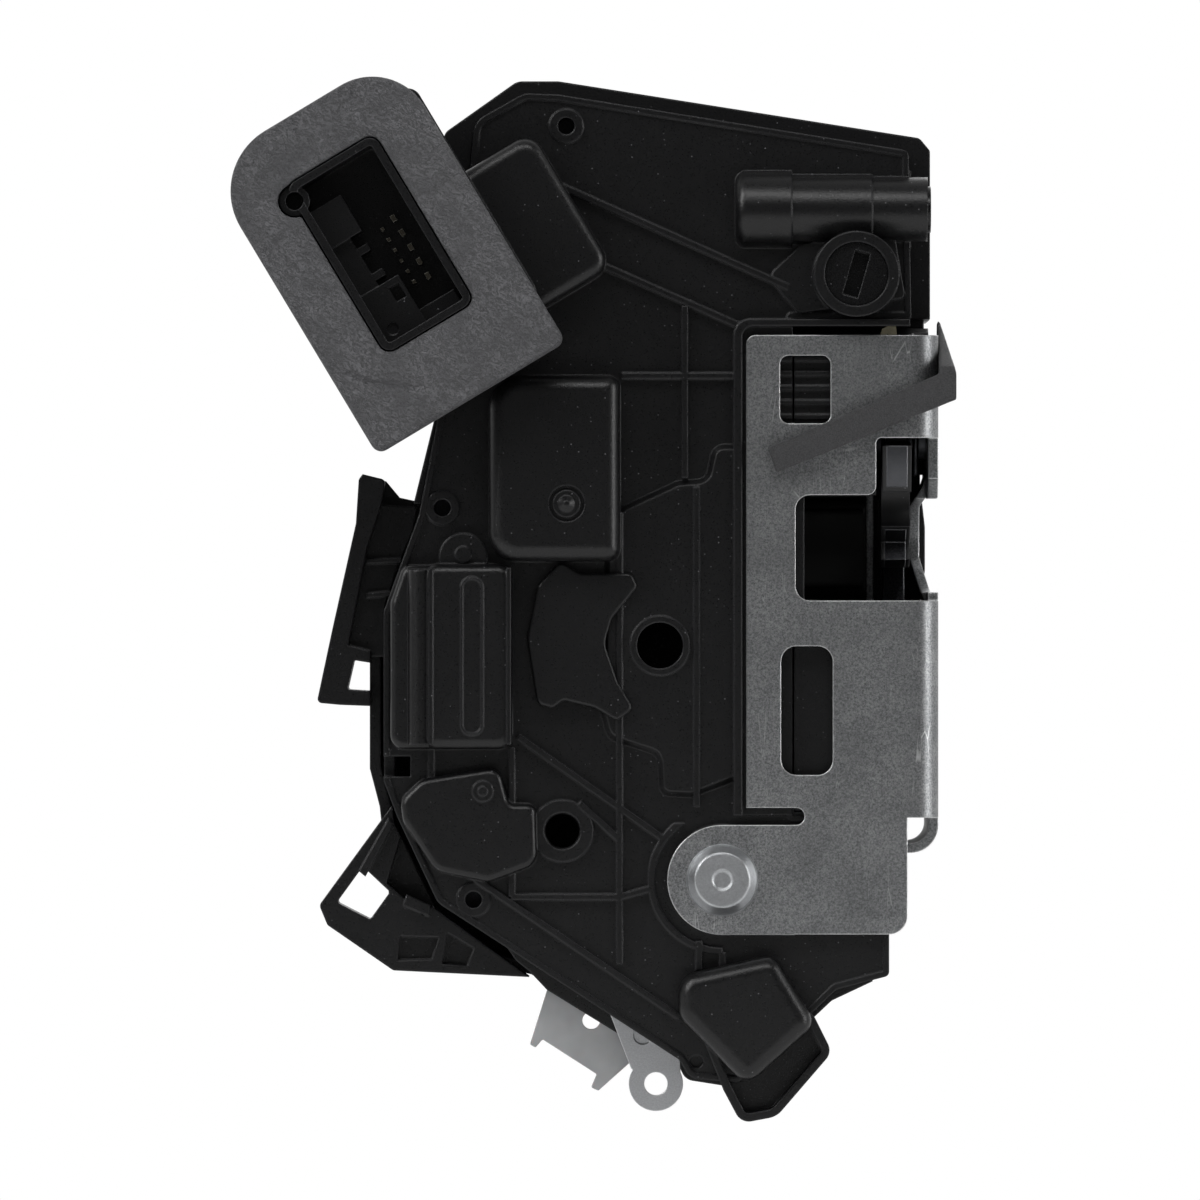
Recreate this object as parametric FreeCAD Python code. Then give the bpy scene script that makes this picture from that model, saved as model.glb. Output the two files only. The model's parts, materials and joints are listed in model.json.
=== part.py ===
import FreeCAD, Part
import math
import os

# Side-door lock of a car: a steel latch plate with claw and pawl, a plastic lock
# case behind it, a two-part plastic housing with the lock motor, the levers for
# the handles, the key dial, the child lock and the plug socket.
# Frame: +X out of the shut face of the door, -Y towards the cabin, +Z up.
# Origin: outer plane of the shut face, on the axis of the latched striker bar.
# All sizes are in millimetres.

V = FreeCAD.Vector

# Sheet steel
PLATE = 1.8                     # thickness of the latch plate
BEND_R = 4.5                    # outer radius of its bend
FLANGE_Y = -24.0                # outer face of the flange
PLATE_BACK_Y = 28.0             # rear edge of the shut face
PLATE_TOP_Z = 38.3
PLATE_LOW_Z = -48.6             # lower end of the bend
PLATE_FOOT_Z = -55.0            # lower end of the shut face
FLANGE_LEFT_X = -34.7
FLANGE_RIGHT_X = -5.65          # right edge of the flange below the bend
FLANGE_FOOT_Z = -69.6

# Striker mouth
MOUTH_TOP = 9.5
MOUTH_DEPTH_X = 25.8            # how far the mouth runs into the flange
MOUTH_END_Y = 9.0               # blind end of the slot in the shut face
NOTCH_X = -11.3                 # notch for the hook above the mouth
NOTCH_TOP = 19.8
DISH_Y = 1.0                    # from here back the shut face is dished behind the mouth
DISH = [(0, 13.05), (-0.6, 11.2), (-2.8, 7.6), (-2.8, -1.6), (-1.0, -7.6), (0, -10.05)]
LIP_REACH = 6.8                 # how far the lower lip turns in

# Claw and pawl
CLAW_Z = 20.0                   # claw pivot above the striker axis
CLAW_R = 23.5                   # outer radius of hook and cam
CLAW_HUB_R = 10.5
CLAW_PIN_R = 4.0
CLAW_X0 = -9.4                  # claw steel, inner face
CLAW_X1 = -5.6                  # claw steel, outer face
SLEEVE = 0.7                    # plastic coat of the claw on each face
CLAW_OPEN = 52.0                # degrees from latched to open
SLOT_HALF = 5.3                 # half width of the claw's slot
SLOT_LINING = 0.9               # plastic on the walls of the slot
BRIDGE_X0 = -12.4               # bridge plate behind the claw
BRIDGE_X1 = -11.0
PAWL_Y = 6.0
PAWL_Z = -20.0
PAWL_PIN_R = 3.5
PAWL_HUB_R = 6.6
PAWL_GAP = 0.3                  # pawl tip above the cam
RUN_FIT = 0.05                  # radial clearance of every turning fit
SEAT_GAP = 0.3                  # air between pieces that don't touch

# Plastic housing
WALL = 2.0
FACE_Y = -21.0                  # front face of the housing between its ribs
PARTING_Y = -2.0                # joint of front shell and rear cover
BACK_Y = 30.0                   # rear face of the rear cover
RIB_H = 1.9                     # height of the outside ribs
RIB_T = 1.1
PLATEAU_H = 1.5                 # height of the raised field round the panel bore
BEAD_H = 0.7                    # height of the bead along the front shell's edge
BORE_FACE_Y = -23.2             # face of the ring round the panel bore
SCREW_TIP_Y = -13.0             # front end of the housing screws
CASE_X = -(MOUTH_DEPTH_X + 0.2) # inner side of the lock case
CASE_TOP = 39.6
CASE_SEAM = 0.02                # half of each seam between the parts of the case
WINDOW_DEEP = 2.0               # recess behind the windows of the latch plate
CASE_LOW = -47.6

# Levers on the tongue rivet
RIVET_X = -39.0
RIVET_Z = -59.8
TONGUE_R = 9.9
RIVET_R = 4.0
LEVER_T = 2.5
LEVER_Y = -15.6                 # front face of the release lever
FLAG_T = 3.0
FLAG_Y = -8.0                   # front face of the inside lever
LEVER_AIR = 0.4                 # air between a lever and the wall beside it
EYE_X = -50.9
EYE_Z = -96.8
EYE_R = 2.1
EYE_END_R = 4.9

# Lock drive
MODULE = 1.0
WHEEL_TEETH = 23
WORM_R = 3.3                    # pitch radius of the worm
MOTOR_X = -69.1
MOTOR_Y = -14.6
MOTOR_R = 10.0
MOTOR_FLAT = 7.9                # half distance of the motor's flats
MOTOR_Z0 = 2.5
MOTOR_LONG = 25.0
WHEEL_Z = -11.0
WHEEL_T = 3.4
AXLE_R = 2.0

# Turning knobs
DIAL_X = -14.9
DIAL_Z = 49.2
DIAL_R = 5.7
COLLAR_R = 7.7
DIAL_TOP = -28.6
DIAL_SHAFT_R = 3.4
BARREL_Z = 61.0
BARREL_R = 6.9
SPINDLE_R = 4.2

# Plug socket, turned in the front view
PLUG_X = -99.4
PLUG_Z = 52.4
PLUG_TURN = 31.0
PAD_HALF_A = 19.7
PAD_HALF_B = 30.0
PAD_T = 9.0
PAD_Y = -43.0                   # front face of the foam pad
SOCKET_WALL = 1.4

# Fasteners
FIXING_R = 3.3                  # bore of an M8 thread
FIXING_UP = (16.0, 31.6)        # y, z of the upper fixing
FIXING_LOW = (-6.0, -39.0)
NUT_R = 6.2
BOSS_THREAD_R = 3.3
SCREW_R = 1.8


def loop(points, place):
    """Closed wire through flat points (a, b) or (a, b, corner radius)."""
    corners = []
    count = len(points)
    for i, point in enumerate(points):
        here = V(point[0], point[1], 0)
        radius = point[2] if len(point) > 2 else 0
        if radius == 0:
            corners.append((here, None, here))
            continue
        before = V(points[i - 1][0], points[i - 1][1], 0) - here
        after = V(points[(i + 1) % count][0], points[(i + 1) % count][1], 0) - here
        before.normalize()
        after.normalize()
        half = before.getAngle(after) / 2
        reach = radius / math.tan(half)
        inward = before + after
        inward.normalize()
        middle = here + inward * (radius / math.sin(half) - radius)
        corners.append((here + before * reach, middle, here + after * reach))
    edges = []
    for i, (start, middle, end) in enumerate(corners):
        if middle is not None:
            edges.append(Part.Arc(place(start), place(middle), place(end)).toShape())
        following = corners[(i + 1) % count][0]
        if end.distanceToPoint(following) > 1e-4:
            edges.append(Part.LineSegment(place(end), place(following)).toShape())
    return Part.Wire(edges)


def front(points, y0, y1):
    """Prism with its outline in the front view, from y0 to y1."""
    wire = loop(points, lambda p: V(p.x, y0, p.y))
    return Part.Face(wire).extrude(V(0, y1 - y0, 0))


def side(points, x0, x1):
    """Prism with its outline in y and z, from x0 to x1."""
    wire = loop(points, lambda p: V(x0, p.x, p.y))
    return Part.Face(wire).extrude(V(x1 - x0, 0, 0))


def box(x0, x1, y0, y1, z0, z1):
    return Part.makeBox(x1 - x0, y1 - y0, z1 - z0, V(x0, y0, z0))


def rect(x0, x1, z0, z1, r=0.0):
    """Corner points of a rectangle, with one corner radius."""
    return [(x0, z0, r), (x1, z0, r), (x1, z1, r), (x0, z1, r)]


def rod_x(y, z, r, x0, x1):
    return Part.makeCylinder(r, x1 - x0, V(x0, y, z), V(1, 0, 0))


def rod_y(x, z, r, y0, y1):
    return Part.makeCylinder(r, y1 - y0, V(x, y0, z), V(0, 1, 0))


def rod_z(x, y, r, z0, z1):
    return Part.makeCylinder(r, z1 - z0, V(x, y, z0), V(0, 0, 1))


def join(first, *others):
    return first.multiFuse(list(others)).removeSplitter()


def cut(first, *others):
    return first.cut(Part.makeCompound(list(others)))


def rib(x0, z0, x1, z1, y0, y1, t=RIB_T):
    """Straight rib between two points of the front view."""
    run = V(x1 - x0, z1 - z0, 0)
    run.normalize()
    across = V(-run.y, run.x, 0) * (t / 2)
    ends = [(x0, z0), (x1, z1)]
    near = [(x + across.x, z + across.y) for x, z in ends]
    far = [(x - across.x, z - across.y) for x, z in reversed(ends)]
    return front(near + far, y0, y1)


def edges_at(shape, y, tolerance=0.01):
    """Edges that lie wholly in the plane of one depth."""
    found = []
    for edge in shape.Edges:
        low, high = edge.BoundBox.YMin, edge.BoundBox.YMax
        if abs(low - y) < tolerance and abs(high - y) < tolerance:
            found.append(edge)
    return found


def soft_block(points, y0, y1, r):
    """Prism whose front edge, at y0, is rounded."""
    block = front(points, y0, y1)
    return block.makeFillet(r, edges_at(block, y0))


def polar(radius, degrees):
    """Point around the claw pivot, in y and z."""
    turn = math.radians(degrees)
    return (radius * math.cos(turn), CLAW_Z + radius * math.sin(turn))


def save(name, shape):
    shape.exportStep("parts/" + name + ".step")
    state = "valid" if shape.isValid() else "NOT VALID"
    print(name, len(shape.Solids), "solids,", round(shape.Volume, 1), "mm3,", state)


def bent_sheet(z0, z1):
    """The folded sheet seen from above, over a height."""
    def outline(inset):
        y = FLANGE_Y + inset
        r = BEND_R - inset
        turn = r * (1 - math.sqrt(0.5))
        start = V(-BEND_R, y, z0)
        middle = V(-inset - turn, y + turn, z0)
        end = V(-inset, FLANGE_Y + BEND_R, z0)
        return start, middle, end
    a0, a1, a2 = outline(0)
    b0, b1, b2 = outline(PLATE)
    left_out = V(FLANGE_LEFT_X, FLANGE_Y, z0)
    left_in = V(FLANGE_LEFT_X, FLANGE_Y + PLATE, z0)
    back_out = V(0, PLATE_BACK_Y, z0)
    back_in = V(-PLATE, PLATE_BACK_Y, z0)
    lines = [(left_out, a0), (a2, back_out), (back_out, back_in), (back_in, b2),
             (b0, left_in), (left_in, left_out)]
    edges = [Part.LineSegment(p, q).toShape() for p, q in lines]
    edges.append(Part.Arc(a0, a1, a2).toShape())
    edges.append(Part.Arc(b0, b1, b2).toShape())
    wire = Part.Wire(Part.__sortEdges__(edges))
    return Part.Face(wire).extrude(V(0, 0, z1 - z0))


def latch_plate():
    """Folded steel plate: flange with tongue, shut face, mouth and windows."""
    back = FLANGE_Y + PLATE
    sheet = bent_sheet(PLATE_LOW_Z, PLATE_TOP_Z)
    lip = front([(0, PLATE_LOW_Z), (0, PLATE_FOOT_Z, 5.0), (-LIP_REACH, PLATE_FOOT_Z),
                 (-LIP_REACH, PLATE_FOOT_Z + PLATE), (-PLATE, PLATE_FOOT_Z + PLATE, 3.2),
                 (-PLATE, PLATE_LOW_Z)], FLANGE_Y + BEND_R, PLATE_BACK_Y - 14)
    flat = box(-PLATE - 1, 1, DISH_Y, PLATE_BACK_Y + 1, DISH[-1][1], DISH[0][1])
    dish = front(DISH + [(x - PLATE, z) for x, z in reversed(DISH)], DISH_Y, PLATE_BACK_Y)
    sheet = join(cut(sheet, flat), dish, lip)
    foot = front([(-34.0, -46.8), (-34.0, -45), (FLANGE_RIGHT_X, -45),
                  (FLANGE_RIGHT_X, FLANGE_FOOT_Z, 3.4), (-28.0, FLANGE_FOOT_Z),
                  (-28.0, -46.8)], FLANGE_Y, back)
    tongue = rod_y(RIVET_X, RIVET_Z, TONGUE_R, FLANGE_Y, back)
    neck = front(rect(RIVET_X, -26, FLANGE_FOOT_Z - 0.1, RIVET_Z + TONGUE_R), FLANGE_Y, back)
    plate = join(sheet, foot, tongue, neck)
    y0, y1 = FLANGE_Y - 1, back + 1
    relief = front([(-45, -49.9), (-24.2, -49.9, 1.5), (-24.2, -46.8, 1.5), (-45, -46.8)], y0, y1)
    mouth = front([(-MOUTH_DEPTH_X, -MOUTH_TOP, 2.6), (5, -MOUTH_TOP), (5, NOTCH_TOP),
                   (NOTCH_X, NOTCH_TOP, 1.0), (NOTCH_X, MOUTH_TOP, 1.6),
                   (-MOUTH_DEPTH_X, MOUTH_TOP, 2.6)], y0, FLANGE_Y + BEND_R)
    slot = side([(FLANGE_Y - 1, -8.0), (MOUTH_END_Y, -8.0, 7.9), (MOUTH_END_Y, 9.0, 7.9),
                 (FLANGE_Y + 9, 9.0, 2), (FLANGE_Y + 5, 12.5, 2), (FLANGE_Y - 1, 12.5)], -6, 1)
    window_up = front(rect(-28.6, -19.5, 22.4, 34.6, 1.55), y0, y1)
    window_low = front(rect(-28.4, -19.1, -40.9, -17.7, 2.75), y0, y1)
    holes = [rod_x(y, z, FIXING_R + 1.0, -3, 1) for y, z in (FIXING_UP, FIXING_LOW)]
    pins = [rod_x(0, CLAW_Z, CLAW_PIN_R - 1.0, -3, 1),
            rod_x(PAWL_Y, PAWL_Z, PAWL_PIN_R - 1.0, -3, 1)]
    rivet = rod_y(RIVET_X, RIVET_Z, RIVET_R, y0, y1)
    corner_up = cut(box(-40, FLANGE_LEFT_X + 1.7, y0, y1, PLATE_TOP_Z - 1.7, 50),
                    rod_y(FLANGE_LEFT_X + 1.7, PLATE_TOP_Z - 1.7, 1.7, y0, y1))
    corner_back = box(-3, 1, PLATE_BACK_Y - 14, PLATE_BACK_Y + 1, PLATE_FOOT_Z - 1, -41.0)
    return cut(plate, relief, mouth, slot, window_up, window_low, rivet,
               corner_up, corner_back, *holes, *pins)


def claw_profile(half):
    """Unit-thick claw in its latched place, with a slot of one half width."""
    hub = rod_x(0, CLAW_Z, CLAW_HUB_R, 0, 1)
    sector = rod_x(0, CLAW_Z, CLAW_R, 0, 1)
    far = 60
    hook_side = side([(0, CLAW_Z)] + [polar(far, a) for a in (-124, -100, -76)], 0, 1)
    cam_side = side([(0, CLAW_Z)] + [polar(far, a) for a in (-76, -58, -30, 2)], 0, 1)
    body = join(hub, sector.common(join(hook_side, cam_side)))
    slot = side([(-half, -30), (half, -30), (half, half + 0.9, half - 0.01),
                 (-half, half + 0.9, half - 0.01)], -1, 2)
    tooth_seat = cut(rod_x(0, CLAW_Z, CLAW_R + 5, -1, 2), rod_x(0, CLAW_Z, CLAW_R - 3.4, -2, 3))
    tooth_seat = tooth_seat.common(side([(0, CLAW_Z)] + [polar(far, a) for a in (-80, -58)], -1, 2))
    return cut(body, slot, tooth_seat)


def claw_turned(shape):
    """Turn a latched claw piece to its open rest place."""
    placed = shape.copy()
    placed.rotate(V(0, 0, CLAW_Z), V(1, 0, 0), -CLAW_OPEN)
    return placed


def slab_between(profile, x0, x1):
    """Unit-thick profile along x, stretched to its real place."""
    flat = [f for f in profile.Faces if abs(f.BoundBox.XMax) < 1e-6 and abs(f.BoundBox.XMin) < 1e-6]
    return flat[0].copy().translated(V(x0, 0, 0)).extrude(V(x1 - x0, 0, 0))


def claw_steel():
    return slab_between(claw_profile(SLOT_HALF + SLOT_LINING), CLAW_X0, CLAW_X1)


def claw():
    bore = rod_x(0, CLAW_Z, CLAW_PIN_R + RUN_FIT, CLAW_X0 - 1, CLAW_X1 + 1)
    spring_hole = rod_x(polar(8.0, 70)[0], polar(8.0, 70)[1], 1.0, CLAW_X0 - 1, CLAW_X1 + 1)
    return claw_turned(cut(claw_steel(), bore, spring_hole))


def claw_sleeve():
    """Plastic coat moulded over hook and cam: two skins and the slot lining."""
    outer = slab_between(claw_profile(SLOT_HALF), CLAW_X0 - SLEEVE, CLAW_X1 + SLEEVE)
    hub = rod_x(0, CLAW_Z, CLAW_HUB_R - 2.0, CLAW_X0 - 2, CLAW_X1 + 2)
    coat = cut(outer, claw_steel(), hub)
    return claw_turned(coat)


def pawl():
    """Pawl riding on the cam: hub, arm with tooth, and a tail for the lever."""
    tip = CLAW_R + PAWL_GAP
    arm = side([(PAWL_Y - 4.6, PAWL_Z + 3), polar(tip, -71), polar(tip, -60),
                polar(tip + 4.6, -57.5), (PAWL_Y + 5.6, PAWL_Z + 2)], CLAW_X0, CLAW_X1)
    hollow = rod_x(0, CLAW_Z, tip, CLAW_X0 - 1, CLAW_X1 + 1)
    tail = side([(PAWL_Y - 1, PAWL_Z + 5.6), (-9, -25.2), (-15.2, -28.6, 1.5), (-15.2, -31.8, 1.2),
                 (-9, -30.6), (PAWL_Y + 1, PAWL_Z - 6.0)], CLAW_X0, CLAW_X1)
    hub = rod_x(PAWL_Y, PAWL_Z, PAWL_HUB_R, CLAW_X0, CLAW_X1)
    bore = rod_x(PAWL_Y, PAWL_Z, PAWL_PIN_R + RUN_FIT, CLAW_X0 - 1, CLAW_X1 + 1)
    return cut(join(hub, arm, tail), hollow, bore)


def pivot_pin(y, z, r):
    """Stepped pin, riveted into the shut face and the bridge plate."""
    body = rod_x(y, z, r, BRIDGE_X1, -PLATE)
    ends = rod_x(y, z, r - 1.0, BRIDGE_X0 - 0.8, -0.1)
    return join(body, ends)


def bridge_blank():
    """Outline of the bridge plate, without its holes."""
    upper = side([(-11, 11.5, 3), (12, 11.5, 3), (22.5, 27, 4), (22.5, 37, 3), (-8, 37, 3),
                  (-11, 30, 3)], BRIDGE_X0, BRIDGE_X1)
    lower = side([(-4, -12, 3), (22.5, -12, 3), (22.5, -27, 3), (6, -45, 3), (-12.7, -45, 3),
                  (-12.7, -33.4, 1), (-4, -24, 3)], BRIDGE_X0, BRIDGE_X1)
    strap = side(rect(14.5, 22.5, -16, 32), BRIDGE_X0, BRIDGE_X1)
    return join(upper, lower, strap)


def bridge_plate():
    """Inner steel plate that carries the far ends of both pivot pins."""
    holes = [rod_x(0, CLAW_Z, CLAW_PIN_R - 1.0, -14, -9),
             rod_x(PAWL_Y, PAWL_Z, PAWL_PIN_R - 1.0, -14, -9)]
    nuts = [rod_x(y, z, NUT_R - 1.5, -14, -9) for y, z in (FIXING_UP, FIXING_LOW)]
    return cut(bridge_blank(), *holes, *nuts)


def fixing_nuts():
    """Two threaded bushes behind the shut face."""
    solids = []
    for y, z in (FIXING_UP, FIXING_LOW):
        nut = join(rod_x(y, z, NUT_R, BRIDGE_X1, -PLATE), rod_x(y, z, NUT_R - 1.5, BRIDGE_X0, BRIDGE_X1))
        solids.append(cut(nut, rod_x(y, z, FIXING_R, -14, 0)))
    return Part.makeCompound(solids)


def torsion_ring(y, z, coil_r, wire_r, x, leg_end):
    """One flat turn of spring wire around a pin, with a straight leg."""
    ring = Part.makeTorus(coil_r, wire_r, V(x, y, z), V(1, 0, 0))
    start = V(x, y, z)
    run = V(x, leg_end[0], leg_end[1]) - start
    length = run.Length
    run.normalize()
    leg = Part.makeCylinder(wire_r * 0.98, length - coil_r, start + run * coil_r, run)
    return join(ring, leg)


def case_blank():
    """Plastic case behind the latch plate, before it is split at the channel."""
    y0 = FLANGE_Y + PLATE
    y1 = PLATE_BACK_Y - 0.5
    block = side([(y0, CASE_LOW, 1), (y1 - 14, CASE_LOW, 1), (y1, -40.5, 1), (y1, CASE_TOP, 1),
                  (y0 + BEND_R, CASE_TOP), (y0, CASE_TOP - 2)], CASE_X, -PLATE)
    bend = box(-BEND_R, 1, y0 - 1, y0 + BEND_R - PLATE, CASE_LOW - 1, CASE_TOP + 1)
    pocket = side([(y0 + 1.6, -33.6, 2), (24.8, -33.6, 3), (24.8, 36.5, 3),
                   (y0 + 1.6, 36.5, 2)], BRIDGE_X0, 0)
    foot_pocket = side([(-15.8, -46, 1), (8, -46, 1), (8, -33.5), (-15.8, -33.5)], BRIDGE_X0, 0)
    channel = side([(y0 - 2, -MOUTH_TOP), (MOUTH_END_Y + 3, -MOUTH_TOP, 3), (MOUTH_END_Y + 3, MOUTH_TOP, 3),
                    (y0 - 2, MOUTH_TOP)], -MOUTH_DEPTH_X + 1.6, 1)
    notch = box(NOTCH_X, 1, y0 - 2, y0 + 3, 0, NOTCH_TOP)
    nut_relief = [rod_x(y, z, NUT_R + SEAT_GAP, BRIDGE_X0, 0) for y, z in (FIXING_UP, FIXING_LOW)]
    pin_relief = [rod_x(0, CLAW_Z, CLAW_PIN_R, -15, 0), rod_x(PAWL_Y, PAWL_Z, PAWL_PIN_R, -15, 0)]
    lever_slot = box(CASE_X - 1, 0, -17.0, -11.0, CASE_LOW - 1, -28.0)
    light_up, light_low = window_recess(CASE_X - 1, BRIDGE_X0 - 2)
    dish_room = box(-5.0, 1, PLATE_BACK_Y - 4, PLATE_BACK_Y + 1, DISH[-1][1] - 0.5, DISH[0][1] + 0.5)
    hollow_back = box(CASE_X + 2, BRIDGE_X0 - 2, -3, y1 + 1, -30.0, -13.0)
    case = cut(block, bend, pocket, foot_pocket, channel, notch, lever_slot, light_up,
               light_low, hollow_back, bridge_blank(), dish_room, *pin_relief, *nut_relief)
    return join(case, *window_slats(CASE_X, BRIDGE_X0 - 2))


def window_recess(x0, x1):
    """Shallow recesses behind the two windows of the latch plate."""
    y0 = FLANGE_Y + PLATE
    return [box(x0, x1, y0 - 1, y0 + WINDOW_DEEP, z0, z1) for z0, z1 in ((21.6, 35.4), (-41.8, -16.8))]


def window_slats(x0, x1):
    """Low slats on the floor of the upper recess."""
    y0 = FLANGE_Y + PLATE
    return [box(x0, x1, y0 + 0.9, y0 + WINDOW_DEEP + 0.1, z, z + 0.9) for z in (23.2, 25.8, 28.4, 31.0, 33.6)]


def case_part(z0, z1):
    """One height of the case."""
    return case_blank().common(box(-60, 5, -60, 60, z0, z1))


def claw_case():
    """Upper part of the case, round the claw."""
    return case_part(MOUTH_TOP + CASE_SEAM, CASE_TOP + 1)


def pawl_case():
    """Lower part of the case, round the pawl."""
    return case_part(CASE_LOW - 1, -MOUTH_TOP - CASE_SEAM)


def striker_guide():
    """Wall and end block of the striker channel, between the two parts of the case."""
    return case_part(-MOUTH_TOP + CASE_SEAM, MOUTH_TOP - CASE_SEAM)


def striker_buffer():
    """Rubber block that the striker lands on at the end of its channel."""
    x0 = -MOUTH_DEPTH_X + 1.8
    pad = side([(MOUTH_END_Y + 0.6, -7.0, 1), (MOUTH_END_Y + 2.9, -7.0, 1),
                (MOUTH_END_Y + 2.9, 7.0, 1), (MOUTH_END_Y + 0.6, 7.0, 1)], x0, BRIDGE_X0 - 0.6)
    return pad


CASE_GAP_X = CASE_X - SEAT_GAP  # side of the housing that faces the lock case

# Outlines in the front view: x, z and corner radius
FRONT_OUTLINE = [
    (-83.6, 76.9, 4), (-74.7, 81.9, 3), (-68.5, 81.7, 2), (-5.4, 71.6, 1.2), (-4.9, 41.4),
    (CASE_GAP_X, 41.4), (CASE_GAP_X, -48.2), (-8.9, -48.2), (-8.9, -77.1, 1), (-18.4, -79.6, 1),
    (-36.0, -96.4, 2), (-44.8, -95.6, 2.5), (-46.8, -92.2, 1), (-90.2, -64, 3),
    (-97.4, -48.8, 3), (-100, -42, 2), (-100, -11.5, 3), (-93.6, 6.0, 3), (-87.0, 40, 4)]
REAR_OUTLINE = [
    (-89.0, 75.4, 2), (-76.0, 84.6, 3), (-68.5, 84.6, 4), (-3.1, 74.3, 1.5), (-1.2, 72.0, 0.8),
    (-1.2, 41.4), (-2.2, 41.4), (-2.2, -48.2), (-10.5, -48.2), (-10.5, -78.0, 1.5),
    (-19.0, -82.0, 2), (-36.0, -98.0, 2), (-45.5, -96.5, 2.5), (-48.0, -91.2, 1), (-58.0, -87.0, 3),
    (-73.4, -77.4, 1), (-98.5, -71.0, 3), (-101.0, -46.9, 3), (-102.8, -40.0, 1.5),
    (-102.8, -19.0, 3), (-94.8, 8.0, 3), (-89.4, 30.0, 5), (-92.0, 66.0, 6)]
DOME = [(-80.9, -2.4, 5), (-57.4, -2.4, 2.2), (-57.4, 31.0, 2.2), (-80.9, 31.0, 6)]
LEFT_BOX = [(-92.6, -36.2, 2.5), (-76.8, -36.2, 2.5), (-76.8, -2.9, 2.5), (-92.6, -2.9, 2.5)]
LEFT_SHELF = [(-98.7, -36.2, 2.5), (-90.0, -36.2), (-90.0, -3.2), (-96.4, -3.2, 2), (-98.7, -10.0, 2)]
LEAF = [(-97.0, -45.4, 3), (-93.0, -41.6, 4), (-79.2, -39.4, 2.5), (-77.4, -46.1, 1.5),
        (-72.6, -46.1, 1.5), (-72.3, -57.0, 3), (-81.0, -60.2, 3), (-90.6, -58.2, 4),
        (-96.4, -49.4, 3)]
KIDNEY = [(-68.1, -2.3, 1.5), (-72.3, -6.9, 3), (-74.2, -16.2, 6), (-72.3, -28.2, 1.6),
          (-69.5, -28.9, 1), (-67.5, -27.5, 1), (-62.0, -28.8, 3), (-58.0, -31.2, 1),
          (-54.9, -29.0, 1.4), (-57.8, -24.2, 2), (-60.2, -17.3, 4), (-58.9, -12.8, 3),
          (-54.2, -7.0, 1.2), (-55.4, -4.6, 1), (-64.6, -4.6, 1)]
PLATEAU = [(-59.9, 3.8, 2), (-57.0, 7.4, 2), (-47.0, 12.0, 2), (-41.9, 12.4, 2), (-40.6, 18.6, 2.5),
           (-36.0, 18.6), (-36.0, -41.7), (-44.4, -44.9, 2.5), (-50.2, -44.6, 2),
           (-50.6, -37.3, 2), (-59.6, -34.4, 3), (-60.8, -30.0, 1)]
LEVER_BAND = [(-79.0, -70.5), (-76.2, -74.6), (-73.7, -76.6), (-70.6, -79.9, 1), (-58.1, -87.6),
              (-48.5, -94.0, 1), (-45.0, -93.4), (-45.6, -91.0), (-58.5, -82.6), (-72.0, -73.2)]
HOOD_FACE = [(-46.9, -77.0, 4.2), (-29.6, -73.2, 3.0), (-22.2, -85.6, 3.0), (-34.6, -96.8, 3.0),
             (-46.9, -84.2, 4.2)]
HOOD_TRAY = [(-44.0, -84.5, 2), (-30.0, -76.5, 2), (-22.3, -84.6, 1), (-19.2, -90.8, 2.5),
             (-29.2, -102.4, 4), (-35.6, -103.6, 2.6), (-38.8, -97.6, 1.5)]
RIBS = [(-68.5, 65.4, -27.0, 46.9), (-61.5, 51.3, -35.8, 40.0), (-45.7, 43.6, -45.7, 12.6),
        (-57.2, 31.0, -36.4, 31.0), (-57.5, 6.4, -57.5, -75.0), (-43.6, 11.0, -43.6, -46.6),
        (-75.8, -34.0, -49.6, -52.4), (-76.9, -36.0, -76.9, -62.8), (-91.4, -36.0, -91.4, -43.0),
        (-88.6, -56.2, -46.6, -84.6), (-77.0, -62.9, -57.5, -62.9), (-57.5, -62.9, -51.9, -61.4),
        (-43.2, -76.0, -43.2, -70.8), (-64.8, -46.0, -57.5, -52.6), (-39.0, -72.9, -39.0, -75.4)]
HOLE_A = (-50.2, -17.6)
HOLE_B = (-67.8, -51.0)
SCREWS = [(-67.1, 76.0), (-89.4, 7.2), (-83.8, -63.4), (-14.2, -72.6)]
BLIND_HOLE = (-43.6, -92.6)


def shrunk(points, inset, y0, y1):
    """Prism inside an outline, drawn in by a wall."""
    face = Part.Face(loop(points, lambda p: V(p.x, y0, p.y)))
    inner = face.makeOffset2D(-inset, 0, False, False, False)
    return Part.Face(inner.Wires[0]).extrude(V(0, y1 - y0, 0))


def tower_placed(shape):
    """Put a piece drawn about the plug's centre in its turned place."""
    placed = shape.copy()
    placed.rotate(V(0, 0, 0), V(0, -1, 0), PLUG_TURN)
    placed.translate(V(PLUG_X, 0, PLUG_Z))
    return placed


TOWER = rect(-14.5, 20.0, -20.5, 24.0, 2.5)
NECK = rect(12.0, 33.9, -22.6, 5.7, 3.5)
SOCKET_OUT = rect(-9.1, 9.3, -15.4, 19.5, 2.0)
KEY_TUBE = (-9.0, 16.5)         # round guide at the corner of the socket
KEY_TUBE_R = 2.7
TOWER_TOP = PAD_Y + PAD_T
TOWER_BASE = -16.0
SOCKET_BASE = -22.0             # rear face of the socket's floor
NECK_TOP = -31.0


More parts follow.
